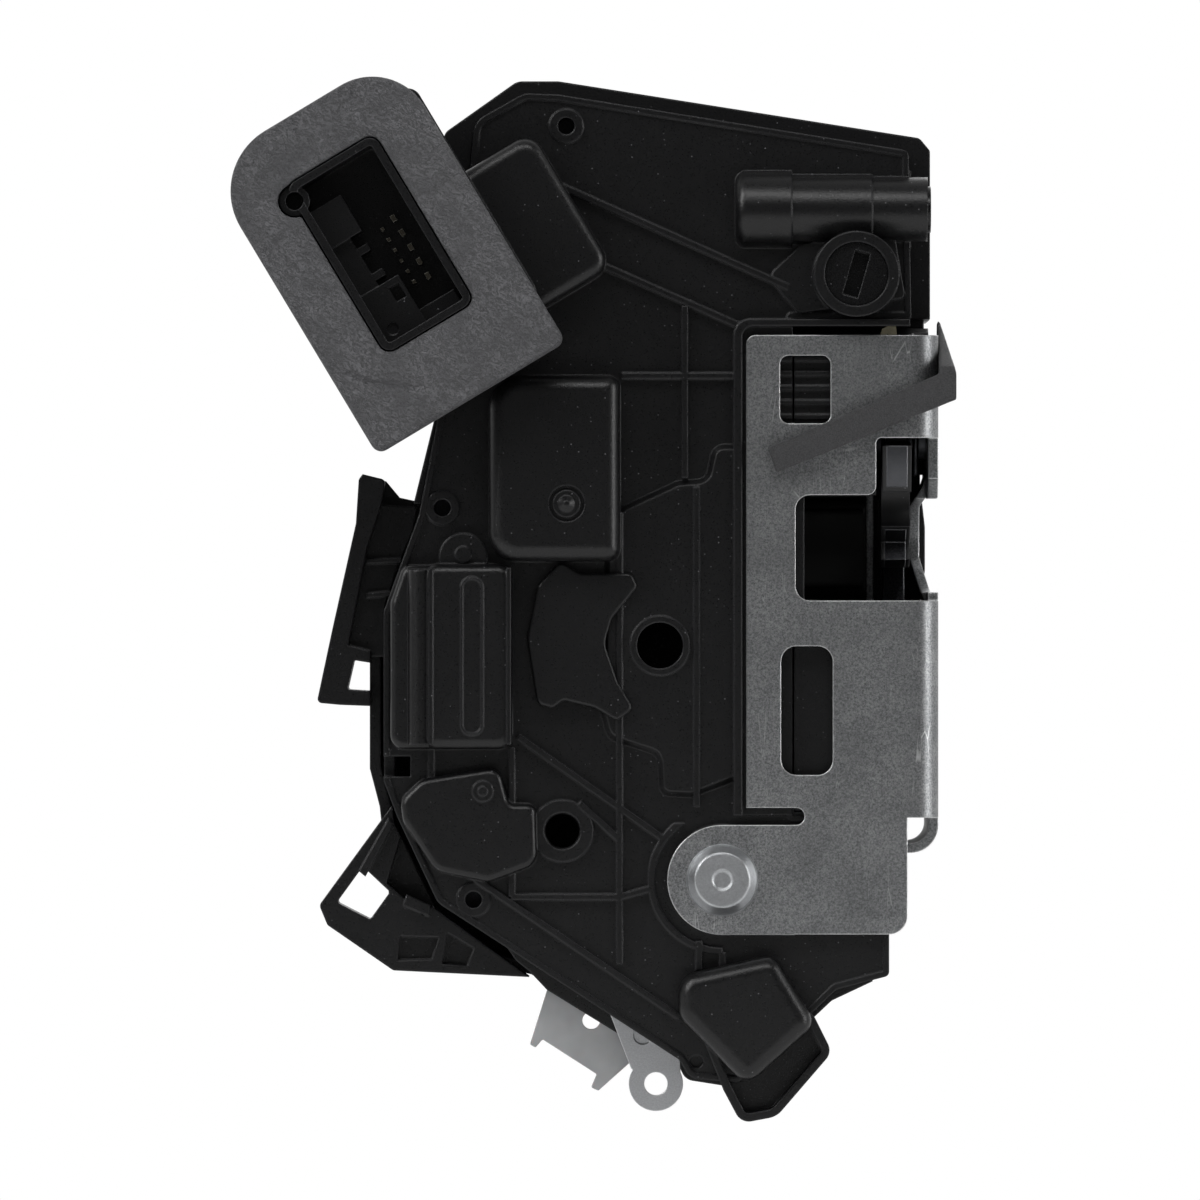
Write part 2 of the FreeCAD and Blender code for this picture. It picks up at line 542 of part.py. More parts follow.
def plug_tower():
    """Box that carries the plug socket, and the neck that joins it to the shell."""
    tower = front(TOWER, TOWER_TOP, TOWER_BASE)
    neck = soft_block(NECK, NECK_TOP, FACE_Y + WALL, 2.2)
    room = join(front(rect(-12.5, 18.0, -18.5, 22.0, 1), SOCKET_BASE, TOWER_BASE - WALL),
                front(SOCKET_OUT, TOWER_TOP - 1, SOCKET_BASE + 0.1),
                rod_y(*KEY_TUBE, KEY_TUBE_R + RUN_FIT, TOWER_TOP - 1, SOCKET_BASE + 0.1))
    passage = front(rect(10.0, 31.9, -20.6, 3.7, 1.5), NECK_TOP + WALL, FACE_Y + WALL - 0.01)
    return [tower_placed(piece) for piece in (tower, neck, room, passage)]


def front_shell():
    """Cabin-side half of the housing, with its domes, ribs, rims and bosses."""
    low = FACE_Y + WALL
    tower, neck, room, passage = plug_tower()
    skin = front(FRONT_OUTLINE, FACE_Y, PARTING_Y)
    raised = FACE_Y - PLATEAU_H
    plateau = front(PLATEAU, raised, FACE_Y)
    plateau = plateau.makeChamfer(PLATEAU_H * 0.6, edges_at(plateau, raised))
    bead = cut(front(FRONT_OUTLINE, FACE_Y - BEAD_H, FACE_Y + 0.1),
               shrunk(FRONT_OUTLINE, RIB_T, FACE_Y - 2, FACE_Y + 1))
    seat = front([(-35.4, -48.2), (CASE_GAP_X, -48.2), (CASE_GAP_X, 39.9), (-35.4, 39.9)],
                 FLANGE_Y + PLATE, FACE_Y)
    rim = cut(front([(-36.9, -48.2), (-5.2, -48.2), (-5.2, 41.2), (-36.9, 41.2, 3)],
                    FLANGE_Y - 0.8, FACE_Y),
              front([(-35.4, -50), (-4, -50), (-4, 39.9), (-35.4, 39.9, 2)],
                    FLANGE_Y - 2, FACE_Y + 1))
    dome = soft_block(DOME, -31.0, low, 2.8)
    left_box = join(soft_block(LEFT_BOX, -29.0, low, 1.8), soft_block(LEFT_SHELF, -26.2, low, 1.2),
                    rod_z(-93.2, -26.4, 2.3, -35.4, -4.0), *[
                        rib(x, -3.6, x, -35.4, -29.5, -28.0, 0.8) for x in (-91.4, -77.4)])
    knob = join(rod_y(-85.6, -1.7, 4.3, -25.2, low), rod_y(-85.6, -1.2, 1.5, -26.0, low))
    leaf_knob = join(rod_y(-82.1, -43.8, 1.9, -26.3, low), rod_y(-82.1, -43.8, 0.9, -26.9, low))
    leaf = soft_block(LEAF, -25.4, low, 1.2)
    barrel = rod_x(FACE_Y, BARREL_Z, BARREL_R, -36.6, -26.5)
    barrel = join(barrel.makeFillet(2.0, [e for e in barrel.Edges if abs(e.BoundBox.XMax + 36.6) < 0.01]),
                  rod_x(FACE_Y, BARREL_Z, BARREL_R - 0.7, -26.5, -12.0),
                  rod_x(FACE_Y, BARREL_Z, BARREL_R - 1.1, -12.0, -2.0))
    collar = rod_y(DIAL_X, DIAL_Z, COLLAR_R, DIAL_TOP - 0.9, low)
    ear = front([(-30.8, 48.9, 2), (-24.8, 54.6, 2), (-8.0, 57.0, 2), (-6.0, 45.0, 1), (-25.4, 42.2, 1.5)],
                FACE_Y - 1.6, low)
    boss_a = rod_y(*HOLE_A, 5.4, BORE_FACE_Y, PARTING_Y)
    boss_b = rod_y(*HOLE_B, 5.6, FACE_Y - 1.8, PARTING_Y)
    rivet_boss = rod_y(RIVET_X, RIVET_Z, TONGUE_R, FLANGE_Y + PLATE, low + 2.2)
    arc = cut(rod_y(RIVET_X, RIVET_Z, 13.4, FACE_Y - RIB_H, low), rod_y(RIVET_X, RIVET_Z, 12.2, -30, 0),
              box(RIVET_X, 0, -30, 0, -80, -40), box(-60, 0, -30, 0, -49.6, -40))
    ribs = [rib(*ends, FACE_Y - RIB_H, FACE_Y + 0.5) for ends in RIBS]
    bosses = [rod_y(x, z, 3.1, FACE_Y - 0.6, PARTING_Y) for x, z in SCREWS[:3]]
    bosses += [rod_y(x, z, 3.1, low - 1, PARTING_Y) for x, z in SCREWS[3:]]
    outside = join(skin, plateau, seat, rim, bead, dome, left_box, knob, leaf, leaf_knob, barrel, collar,
                   ear, boss_a, rivet_boss, arc, tower, neck, *ribs)
    hollow = shrunk(FRONT_OUTLINE, WALL, low, PARTING_Y + 1)
    rooms = [shrunk(DOME, WALL, -31.0 + WALL, low + 0.01), shrunk(LEFT_BOX, WALL, -29.0 + WALL, low + 0.01),
             shrunk(LEFT_SHELF, WALL, -26.2 + WALL, low + 0.01)]
    recesses = window_recess(-30.2, CASE_GAP_X + 1)
    shell = cut(outside, hollow, room, passage, *rooms)
    inner_rivet_boss = rod_y(RIVET_X, RIVET_Z, 7.0, low - 1, low + 2.2)
    spindle_box = box(-37.6, -4.9, low - 1, -12.5, BARREL_Z - 7.0, BARREL_Z + 7.0)
    dial_sleeve = rod_y(DIAL_X, DIAL_Z, COLLAR_R, low - 1, -13.0)
    tube_a = rod_y(*HOLE_A, 5.4, FACE_Y - 1.0, PARTING_Y)
    shell = join(shell, inner_rivet_boss, spindle_box, dial_sleeve, tube_a, boss_b, *bosses)
    holes = [rod_y(*HOLE_A, 4.15, -40, 0), rod_y(*HOLE_B, BOSS_THREAD_R, -40, 0),
             rod_y(RIVET_X, RIVET_Z, RIVET_R, -40, 0)]
    holes += [rod_y(x, z, SCREW_R - 0.3, -40, 0) for x, z in SCREWS[:3]]
    holes += [rod_y(x, z, SCREW_R - 0.3, SCREW_TIP_Y - 0.5, 0) for x, z in SCREWS[3:]]
    dial_bore = [rod_y(DIAL_X, DIAL_Z, DIAL_R + RUN_FIT, DIAL_TOP - 2, DIAL_TOP + 6),
                 rod_y(DIAL_X, DIAL_Z, DIAL_SHAFT_R + RUN_FIT, DIAL_TOP + 5, 0)]
    spindle_bore = rod_x(FACE_Y + 1.0, BARREL_Z, SPINDLE_R + RUN_FIT, -34.0, 1)
    ways = [front([(-79.0, -70.0), (-62.0, -66.0), (-38.0, -84.0), (-36.0, -93.0), (-41.5, -99.0),
                   (-80.0, -99.0)], y - 2 * LEVER_AIR, y + t + LEVER_AIR)
            for y, t in ((LEVER_Y, LEVER_T), (FLAG_Y, FLAG_T))]
    pocket = front(rect(-100.5, -95.2, -41.2, -37.6), -40, low + 4)
    dome_dimple = cut(rod_y(-67.0, 7.9, 3.2, -32, -30.2), rod_y(-67.0, 7.9, 2.5, -33, 0))
    dome_tip = Part.makeCone(0.5, 1.5, 0.9, V(-67.0, -31.9, 7.9), V(0, 1, 0))
    slot_mark = cut(front(rect(-86.1, -81.9, -33.8, -5.2, 2.0), -29.35, -28.9),
                    front(rect(-85.6, -82.4, -33.3, -5.7, 1.5), -30, -28))
    arm_way = front([(-34, -62), (-24, -60), (-12, -46), (-12, -38), (-30, -40), (-34, -50)],
                    LEVER_Y - 1.0, LEVER_Y + LEVER_T + 1.0)
    blind = rod_y(*BLIND_HOLE, 1.15, -40, FACE_Y + 1.5)
    shell = cut(shell, *holes, *dial_bore, spindle_bore, *ways, arm_way, blind, dome_dimple, pocket,
                *recesses)
    band = front(LEVER_BAND, LEVER_Y + LEVER_T + LEVER_AIR, FLAG_Y - 2 * LEVER_AIR)
    return join(shell, slot_mark, band, dome_tip, *window_slats(-29.8, CASE_GAP_X))


def wheel_x():
    return MOTOR_X - (WORM_R + MODULE * WHEEL_TEETH / 2)


def wheel_tip():
    return MODULE * (WHEEL_TEETH / 2 + 0.9)


def rear_cover():
    """Door-side half of the housing, closed over the lock case by its back."""
    body = front(REAR_OUTLINE, PARTING_Y + 0.02, BACK_Y)
    lip = cut(front(REAR_OUTLINE, PARTING_Y - 5.0, PARTING_Y + 0.02),
              front([(CASE_GAP_X, 41.5), (5, 41.5), (5, -60), (-8.0, -60), (-8, -78.5), (CASE_GAP_X, -78.5)],
                    PARTING_Y - 7, PARTING_Y + 0.02),
              box(-110, -88, PARTING_Y - 6, PARTING_Y + 0.02, -52, 8),
              front([(-104, -43), (-78, -66), (-40, -92), (-30, -105), (-110, -105)],
                    PARTING_Y - 7, PARTING_Y + 0.02))
    shell_room = front(grown(FRONT_OUTLINE, 0.2), PARTING_Y - 7, PARTING_Y + 0.02)
    lip = cut(lip, shell_room)
    hollow = shrunk(REAR_OUTLINE, WALL, PARTING_Y, BACK_Y - WALL)
    wall_case = box(CASE_GAP_X - WALL, 1, PARTING_Y, BACK_Y - WALL, -50.2, 41.9)
    hollow = cut(hollow, wall_case)
    case_room = box(CASE_GAP_X, 2, PARTING_Y - 8, PLATE_BACK_Y + 0.02, PLATE_FOOT_Z - 0.3, 39.9)
    back_ribs = [rib(x0, z0, x1, z1, BACK_Y - 0.1, BACK_Y + 1.2) for x0, z0, x1, z1 in BACK_RIBS]
    bosses = [rod_y(x, z, 3.1, PARTING_Y + 0.02, BACK_Y - 1) for x, z in SCREWS]
    pin_boss = rod_y(RIVET_X, RIVET_Z, 7.0, FLAG_Y + FLAG_T + 1.2, BACK_Y - 1)
    axle_boss = rod_y(wheel_x(), WHEEL_Z, 5.0, MOTOR_Y + WHEEL_T / 2 + 0.8, BACK_Y - 1)
    cover = cut(body, hollow, case_room)
    cover = join(cover, lip, pin_boss, axle_boss, *back_ribs, *bosses)
    bores = [rod_y(x, z, SCREW_R, PARTING_Y - 1, BACK_Y + 3) for x, z in SCREWS]
    heads = [rod_y(x, z, 3.0, BACK_Y - 2.4, BACK_Y + 3) for x, z in SCREWS]
    rivet = rod_y(RIVET_X, RIVET_Z, RIVET_R, PARTING_Y - 15, RIVET_END_Y + 0.2)
    axle = rod_y(wheel_x(), WHEEL_Z, AXLE_R, -20, AXLE_END_Y + 0.2)
    cheek = front([(-6, 12.5), (-2.1, 11.0), (-1.3, 4.0, 4), (-1.3, -4.0, 4), (-2.1, -9.5), (-6, -11)],
                  PLATE_BACK_Y + 0.02, BACK_Y)
    return cut(join(cover, cheek), *bores, *heads, rivet, axle)


BACK_RIBS = [(-88, 70, -4, 60), (-88, 20, -6, 20), (-98, -20, -30, -20), (-60, 78, -60, -80),
             (-85, 70, -85, -66), (-32, 74, -32, -90), (-98, -60, -14, -60), (-90, 50, -60, 20)]
RIVET_END_Y = 4.0
AXLE_END_Y = 0.0


def grown(points, by):
    """Outline pushed outwards from its middle by a small even step."""
    count = len(points)
    area = sum(points[i - 1][0] * points[i][1] - points[i][0] * points[i - 1][1] for i in range(count))
    turn = 1 if area > 0 else -1
    moved = []
    for i, point in enumerate(points):
        before = V(point[0] - points[i - 1][0], point[1] - points[i - 1][1], 0)
        after = V(points[(i + 1) % count][0] - point[0], points[(i + 1) % count][1] - point[1], 0)
        before.normalize()
        after.normalize()
        n0 = V(before.y, -before.x, 0) * turn
        n1 = V(after.y, -after.x, 0) * turn
        out = (n0 + n1) * (by / (1 + n0.dot(n1)))
        moved.append((point[0] + out.x, point[1] + out.y) + tuple(point[2:]))
    return moved


def lower_hood():
    """Rain hood over the lever side: rounded face above, open tray below."""
    face = soft_block(HOOD_FACE, -30.0, -17.5, 2.6)
    face_room = shrunk(HOOD_FACE, 1.5, -28.4, -16)
    tray = front(HOOD_TRAY, -24.0, -17.5)
    tray_room = shrunk(HOOD_TRAY, 1.5, -26, -18.9)
    under = front(FRONT_OUTLINE, FACE_Y - RIB_H - 0.05, -10)
    hood = cut(join(face, tray), face_room, tray_room)
    return cut(hood, front(FRONT_OUTLINE, FACE_Y - BEAD_H - 0.02, -10), *[
        rib(*ends, FACE_Y - RIB_H - 0.1, FACE_Y + 0.5, RIB_T + 0.2) for ends in RIBS])


def clip_bracket():
    """Cable clip on the left side: slanted rail with a window and a short arm."""
    rail = front([(-104.7, 12.4, 0.6), (-104.0, 13.4), (-99.9, 12.4, 0.8), (-100.6, 8.0, 0.6),
                  (-103.2, 0.0), (-106.6, -17.6), (-102.6, -18.6), (-102.6, -28.6), (-108.0, -28.4),
                  (-112.3, -28.0, 0.8), (-109.5, -14.8), (-105.2, 4.5)], -9.0, 7.0)
    window = front([(-105.6, -20.3, 0.4), (-101.8, -20.9), (-101.8, -25.9), (-106.8, -25.6, 0.4)], -10, 8)
    groove = front([(-106.6, 0.0), (-104.6, 0.6), (-108.8, -24.0), (-110.6, -23.6)], -5.4, 3.4)
    rail = cut(rail, window, groove)
    arm = front([(-103.2, 10.8), (-99.9, 12.2), (-97.4, 9.2), (-94.6, 8.6), (-95.4, 5.0),
                 (-100.4, 5.2)], 0.0, 5.0)
    web = front([(-103.6, 8.2), (-94.2, 7.4), (-95.0, 3.0), (-97.6, -3.0), (-99.9, -10.0), (-99.9, -19.7),
                 (-107.0, -19.7), (-103.4, 0.0)], -5.2, 0.0)
    web_ribs = [rib(-103.4, z0, -97.0, z1, -7.4, -5.1, 0.9) for z0, z1 in ((-2.4, -2.2), (-8.6, -8.0))]
    cover = front(grown(REAR_OUTLINE, 0.05), PARTING_Y - 0.05, 8)
    shell = front(grown(FRONT_OUTLINE, 0.1), FACE_Y - 1, PARTING_Y + 0.05)
    return cut(join(rail, arm, web, *web_ribs), cover, shell)


def cable_bracket():
    """Holder for the handle cable at the lower left: ribbed wing with a window."""
    wing = front([(-98.6, -46.5), (-111.8, -64.6, 1.2), (-110.3, -68.2, 1), (-98.4, -76.4, 1),
                  (-73.8, -77.6), (-90.9, -65.2), (-98.2, -49.8)], -12.0, PARTING_Y)
    window = front([(-103.9, -57.6), (-99.0, -62.2, 0.5), (-102.6, -67.2, 0.5), (-108.6, -64.1, 0.5)],
                   -13, 3)
    gully = front([(-97.0, -52.0), (-99.6, -60.6), (-93.0, -66.4), (-90.0, -63.8)], -13, -4.0)
    wells = [front([(-97.2, -70.2), (-90.2, -70.4), (-91.4, -74.4), (-97.6, -74.6)], -13, -9.4),
             front([(-88.6, -69.6), (-83.8, -72.4), (-85.0, -75.6), (-89.6, -75.2)], -13, -9.4)]
    bar = front([(-99.2, -48.9), (-98.3, -49.9), (-103.4, -59.4), (-104.6, -58.4)], -14.0, -11.5)
    clip = front([(-96.0, -62.6), (-91.6, -64.6), (-91.9, -66.6), (-96.6, -64.6)], -14.2, -11.0)
    body = cut(wing, window, gully, *wells)
    return join(body, bar, clip)


def tongue_rivet():
    """Shouldered pivot of both levers, riveted over the tongue of the plate."""
    cone = Part.makeCone(6.5, 4.9, 2.0, V(RIVET_X, FLANGE_Y, RIVET_Z), V(0, -1, 0))
    dimple = rod_y(RIVET_X, RIVET_Z, 1.7, FLANGE_Y - 3, FLANGE_Y - 1.7)
    shank = rod_y(RIVET_X, RIVET_Z, RIVET_R, FLANGE_Y, RIVET_END_Y)
    return cut(join(cone, shank), dimple)


def release_lever():
    """Steel lever on the rivet: eye for the handle rod, arm under the pawl's tail."""
    y0, y1 = LEVER_Y, LEVER_Y + LEVER_T
    hub = rod_y(RIVET_X, RIVET_Z, 8.6, y0, y1)
    blade = front([(-59.4, -83.6, 0.6), (-54.6, -71.0, 3), (-44.0, -53.4, 2), (-32.0, -56.0, 3),
                   (-46.6, -92.0, 1), (-46.4, -95.4), (-50.9, -97.6), (-55.4, -94.0)], y0, y1)
    eye = rod_y(EYE_X, EYE_Z, EYE_END_R, y0, y1)
    arm = front([(-34.0, -53.4, 1), (-15.0, -36.8, 3), (-10.4, -32.3), (-4.2, -32.3, 1),
                 (-4.2, -36.6, 1), (-9.0, -38.8, 3), (-31.0, -60.6, 1)], y0, y1)
    recess = rod_y(-53.3, -88.0, 1.65, y0 - 1, y0 + 0.7)
    bore = rod_y(RIVET_X, RIVET_Z, RIVET_R + RUN_FIT, y0 - 1, y1 + 1)
    hole = rod_y(EYE_X, EYE_Z, EYE_R, y0 - 1, y1 + 1)
    return cut(join(hub, blade, eye, arm), recess, bore, hole)


def inside_lever():
    """Pale plastic lever behind the steel one, with a notched flag for the cable."""
    y0, y1 = FLAG_Y, FLAG_Y + FLAG_T
    hub = rod_y(RIVET_X, RIVET_Z, 7.6, LEVER_Y + LEVER_T + SEAT_GAP, y1)
    flag = front([(-45.4, -56.0, 1), (-67.6, -70.6, 3), (-73.7, -89.9, 0.3), (-72.7, -90.5, 0.3),
                  (-71.4, -89.0, 0.3), (-61.6, -95.3, 0.3), (-62.6, -97.7, 0.3), (-61.3, -98.3, 0.3),
                  (-55.8, -93.4, 0.5), (-37.0, -66.0, 1)], y0, y1)
    bore = rod_y(RIVET_X, RIVET_Z, RIVET_R + RUN_FIT, LEVER_Y, y1 + 1)
    nipple_seat = rod_y(-62.6, -85.6, 1.6, y0 - 1, y1 + 1)
    return cut(join(hub, flag), bore, nipple_seat)


def lever_spring():
    """Return spring of the levers, one turn round the rivet, leg on the shell."""
    y = LEVER_Y - 0.65
    ring = Part.makeTorus(5.6, 0.45, V(RIVET_X, y, RIVET_Z), V(0, 1, 0))
    leg = Part.makeCylinder(0.44, 12.0, V(RIVET_X - 5.6, y, RIVET_Z), V(0, 0, 1))
    return join(ring, leg)


def worm():
    """Single-start worm with its motor shaft, centred beside the wheel."""
    pitch = math.pi * MODULE
    turns = 5
    low = WHEEL_Z - pitch * turns / 2
    helix = Part.makeHelix(pitch, pitch * turns, WORM_R)
    foot, tip = WORM_R - 1.4, WORM_R + 0.8
    profile = Part.makePolygon([V(foot, 0, -0.85), V(tip, 0, -0.3), V(tip, 0, 0.3), V(foot, 0, 0.85),
                                V(foot, 0, -0.85)])
    thread = Part.Wire(helix.Edges).makePipeShell([profile], True, True)
    thread.translate(V(MOTOR_X, MOTOR_Y, low))
    core = rod_z(MOTOR_X, MOTOR_Y, WORM_R - 1.2, low - 1.2, low + pitch * turns + 1.2)
    shaft = rod_z(MOTOR_X, MOTOR_Y, 1.0, low - 3.0, MOTOR_Z0 + 6.0)
    return join(core, thread, shaft)


def lock_motor():
    """Small flat-sided direct-current motor in the dome."""
    can = rod_z(MOTOR_X, MOTOR_Y, MOTOR_R, MOTOR_Z0, MOTOR_Z0 + MOTOR_LONG)
    flats = box(MOTOR_X - 15, MOTOR_X + 15, MOTOR_Y - MOTOR_FLAT, MOTOR_Y + MOTOR_FLAT, 0, 40)
    can = can.common(flats)
    nose = rod_z(MOTOR_X, MOTOR_Y, 3.0, MOTOR_Z0 - 1.2, MOTOR_Z0)
    bore = rod_z(MOTOR_X, MOTOR_Y, 1.0 + RUN_FIT, MOTOR_Z0 - 2, MOTOR_Z0 + 7.0)
    return cut(join(can, nose), bore)


def motor_cradle():
    """Plastic saddle that holds the motor against the dome."""
    y0 = MOTOR_Y + MOTOR_FLAT
    plate = box(MOTOR_X - 9.0, MOTOR_X + 9.0, y0, y0 + 2.0, MOTOR_Z0 + 2, MOTOR_Z0 + MOTOR_LONG - 2)
    posts = [rod_y(MOTOR_X + dx, MOTOR_Z0 + dz, 2.0, y0 + 2.0, BACK_Y - WALL)
             for dx in (-7, 7) for dz in (4, MOTOR_LONG - 4)]
    return join(plate, *posts)


def worm_wheel():
    """Spur wheel that the worm turns, with a drive dog for the locking link."""
    step = 360.0 / WHEEL_TEETH
    pitch_r = MODULE * WHEEL_TEETH / 2
    shape = [(-0.36, pitch_r - 1.25), (-0.19, pitch_r + 0.0), (-0.09, wheel_tip()),
             (0.09, wheel_tip()), (0.19, pitch_r + 0.0), (0.36, pitch_r - 1.25)]
    points = []
    for tooth in range(WHEEL_TEETH):
        for share, r in shape:
            turn = math.radians((tooth + 0.5 + share) * step)
            points.append((wheel_x() + r * math.cos(turn), WHEEL_Z + r * math.sin(turn)))
    y0 = MOTOR_Y - WHEEL_T / 2
    gear = front(points, y0, y0 + WHEEL_T)
    hub = rod_y(wheel_x(), WHEEL_Z, 4.2, y0 - 0.6, y0 + WHEEL_T + 0.6)
    dog = rod_y(wheel_x() - 6.6, WHEEL_Z, 1.8, y0 - 2.2, y0)
    bore = rod_y(wheel_x(), WHEEL_Z, AXLE_R + RUN_FIT, y0 - 2, y0 + WHEEL_T + 2)
    return cut(join(gear, hub, dog), bore)


def wheel_axle():
    return rod_y(wheel_x(), WHEEL_Z, AXLE_R, MOTOR_Y - WHEEL_T / 2 - 1.4, AXLE_END_Y)


def key_dial():
    """Slotted insert that a key turns."""
    disc = rod_y(DIAL_X, DIAL_Z, DIAL_R, DIAL_TOP, DIAL_TOP + 5.8)
    shaft = rod_y(DIAL_X, DIAL_Z, DIAL_SHAFT_R, DIAL_TOP + 5.8, -12.0)
    slot = box(-1.4, 1.4, DIAL_TOP - 1, DIAL_TOP + 3.2, -4.15, 4.15)
    slot.rotate(V(0, 0, 0), V(0, 1, 0), 16)
    slot.translate(V(DIAL_X, 0, DIAL_Z))
    return cut(join(disc, shaft), slot)


def child_lock_spindle():
    """Slotted spindle of the child lock, turned from the shut face."""
    body = rod_x(FACE_Y + 1.0, BARREL_Z, SPINDLE_R, -33.0, -1.4)
    slot = box(-3.4, 0, FACE_Y + 1.0 - 0.7, FACE_Y + 1.0 + 0.7, BARREL_Z - 3.4, BARREL_Z + 3.4)
    return cut(body, slot)


def plug_socket():
    """Shrouded socket for the wiring plug: rim, coding ledges and floor."""
    shroud = front(SOCKET_OUT, PAD_Y + 0.9, SOCKET_BASE)
    room = shrunk(SOCKET_OUT, SOCKET_WALL, PAD_Y, SOCKET_BASE - 1.8)
    ledges = [front([(-8.0, 5.9), (-1.4, 5.9), (-1.4, 13.4), (-8.0, 13.4)], -37.0, SOCKET_BASE - 1),
              front([(-8.0, -4.1), (-3.9, -4.1), (-3.9, 5.9), (-8.0, 5.9)], -35.0, SOCKET_BASE - 1),
              front([(-3.9, -3.0), (-1.8, -3.0), (-1.8, -1.6), (-3.9, -1.6)], -35.0, SOCKET_BASE - 1),
              front([(-3.9, 2.2), (-1.8, 2.2), (-1.8, 3.6), (-3.9, 3.6)], -35.0, SOCKET_BASE - 1),
              front([(-8.0, -14.0), (0.1, -14.0), (0.1, -4.1), (-8.0, -4.1)], -36.0, SOCKET_BASE - 1),
              front([(0.1, -14.0), (7.3, -14.0), (7.3, -11.4), (0.1, -11.4)], -34.0, SOCKET_BASE - 1)]
    mark = rod_y(-5.7, -12.0, 1.1, -37, -35.4)
    pocket = front(rect(-2.6, -0.6, -8.2, -5.4), -37, -33.0)
    tube = rod_y(*KEY_TUBE, KEY_TUBE_R, PAD_Y + 2.4, SOCKET_BASE)
    bore = rod_y(*KEY_TUBE, KEY_TUBE_R - 1.1, PAD_Y, -31.0)
    return tower_placed(cut(join(cut(shroud, room), *ledges, tube), mark, pocket, bore))


def socket_terminals():
    """Flat pins in the socket: one main row and one fine row."""
    solids = []
    floor = SOCKET_BASE - 1.8
    for k in range(5):
        b = 5.0 - 3.0 * k
        solids.append(box(4.2, 5.0, floor - 10.0, floor, b - 0.6, b + 0.6))
    for k in range(6):
        b = 4.4 - 2.2 * k
        solids.append(box(1.6, 2.2, floor - 8.0, floor, b - 0.3, b + 0.3))
    return Part.makeCompound([tower_placed(pin) for pin in solids])


def foam_pad():
    """Foam seal round the socket, pressed against the door skin."""
    corners = [(-PAD_HALF_A, -PAD_HALF_B, 1.8), (PAD_HALF_A, -PAD_HALF_B, 1.8),
               (PAD_HALF_A, PAD_HALF_B, 11.0), (-PAD_HALF_A, PAD_HALF_B, 12.6)]
    window = rect(-9.4, 9.6, -15.7, 19.8, 2.2)
    bump = rod_y(*KEY_TUBE, KEY_TUBE_R + SEAT_GAP, PAD_Y - 1, PAD_Y + PAD_T + 1)
    pad = soft_block(corners, PAD_Y, PAD_Y + PAD_T - 0.02, 0.8)
    return tower_placed(cut(pad, front(window, PAD_Y - 1, PAD_Y + PAD_T + 1), bump))


def foam_strip():
    """Sealing strip glued slantwise over the flange and up the shut face."""
    t = 3.1
    y = FLANGE_Y - 0.02
    across = front([(-30.8, 18.0), (-29.3, 13.5), (t, 26.7), (t, 32.6)], y - t, y)
    up = side([(y - t, 26.7), (y - t, 32.6), (-6.0, 41.2), (-4.2, 36.9)], 0.02, t)
    taper = front([(t + 0.1, 31.0), (0.5, 41.4), (6, 45), (6, 31.0)], -30, 0)
    return cut(join(across, up), taper)


def kidney_cover():
    """Curved cap clipped over the ribs beside the motor."""
    top = FACE_Y - RIB_H
    cap = soft_block(KIDNEY, top - 1.5, top - 0.02, 0.5)
    studs = [rod_y(x, z, 1.4, top - 0.1, FACE_Y - 0.02) for x, z in ((-65.4, -8.4), (-69.8, -16.6), (-68.6, -24.6))]
    return join(cap, *studs)


def housing_screws():
    """Self-tapping screws that hold the rear cover."""
    seat = BACK_Y - 2.4
    solids = []
    for x, z in SCREWS:
        head = rod_y(x, z, 2.8, seat, seat + 2.2)
        shank = rod_y(x, z, SCREW_R - 0.3, SCREW_TIP_Y, seat)
        recess = rod_y(x, z, 1.3, seat + 0.9, seat + 3)
        solids.append(cut(join(head, shank), recess))
    return Part.makeCompound(solids)


def lead_frame():
    """Carrier of the conductor tracks, on posts from the rear cover."""
    plate = front([(-84, 36, 2), (-36, 36, 2), (-36, 62, 2), (-84, 66, 2)], 4.0, 5.6)
    posts = [rod_y(x, z, 2.0, 5.6, BACK_Y - WALL) for x, z in ((-80, 40), (-40, 40), (-40, 58), (-78, 61))]
    tracks = [front(rect(-80, -42, z, z + 1.6), 3.2, 4.0) for z in (40, 44, 48, 52, 56)]
    return join(plate, *posts, *tracks)


def latch_switch():
    """Micro-switch in the lock case that reads the pawl."""
    body = box(-10.4, -4.0, 14.4, 21.4, -33.6, -27.4)
    plunger = box(-8.4, -6.0, 15.8, 17.2, -27.4, -26.2)
    return join(body, plunger)


def claw_pin():
    return pivot_pin(0, CLAW_Z, CLAW_PIN_R)


def pawl_pin():
    return pivot_pin(PAWL_Y, PAWL_Z, PAWL_PIN_R)


def claw_spring():
    return torsion_ring(0, CLAW_Z, 6.4, 0.55, CLAW_X1 + SLEEVE + 1.1, (9.0, 35.6))


def pawl_spring():
    return torsion_ring(PAWL_Y, PAWL_Z, 5.6, 0.55, CLAW_X1 + 1.4, (20.0, -18.0))


PIECES = [latch_plate, bridge_plate, claw, claw_sleeve, claw_pin, claw_spring, pawl, pawl_pin,
          pawl_spring, fixing_nuts, claw_case, pawl_case, striker_guide, striker_buffer, latch_switch, front_shell, rear_cover,
          lower_hood, clip_bracket, cable_bracket, kidney_cover, tongue_rivet, release_lever,
          inside_lever, lever_spring, lock_motor, motor_cradle, worm, worm_wheel, wheel_axle,
          key_dial, child_lock_spindle, plug_socket, socket_terminals, foam_pad, foam_strip,
          lead_frame, housing_screws]


def main():
    os.makedirs("parts", exist_ok=True)
    for piece in PIECES:
        save(piece.__name__, piece())


main()
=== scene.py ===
"""Looks of a car door lock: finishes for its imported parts, a foam pad and strip, and small trim."""
import json
import math

import bmesh
import bpy
from mathutils import Matrix, Vector, noise

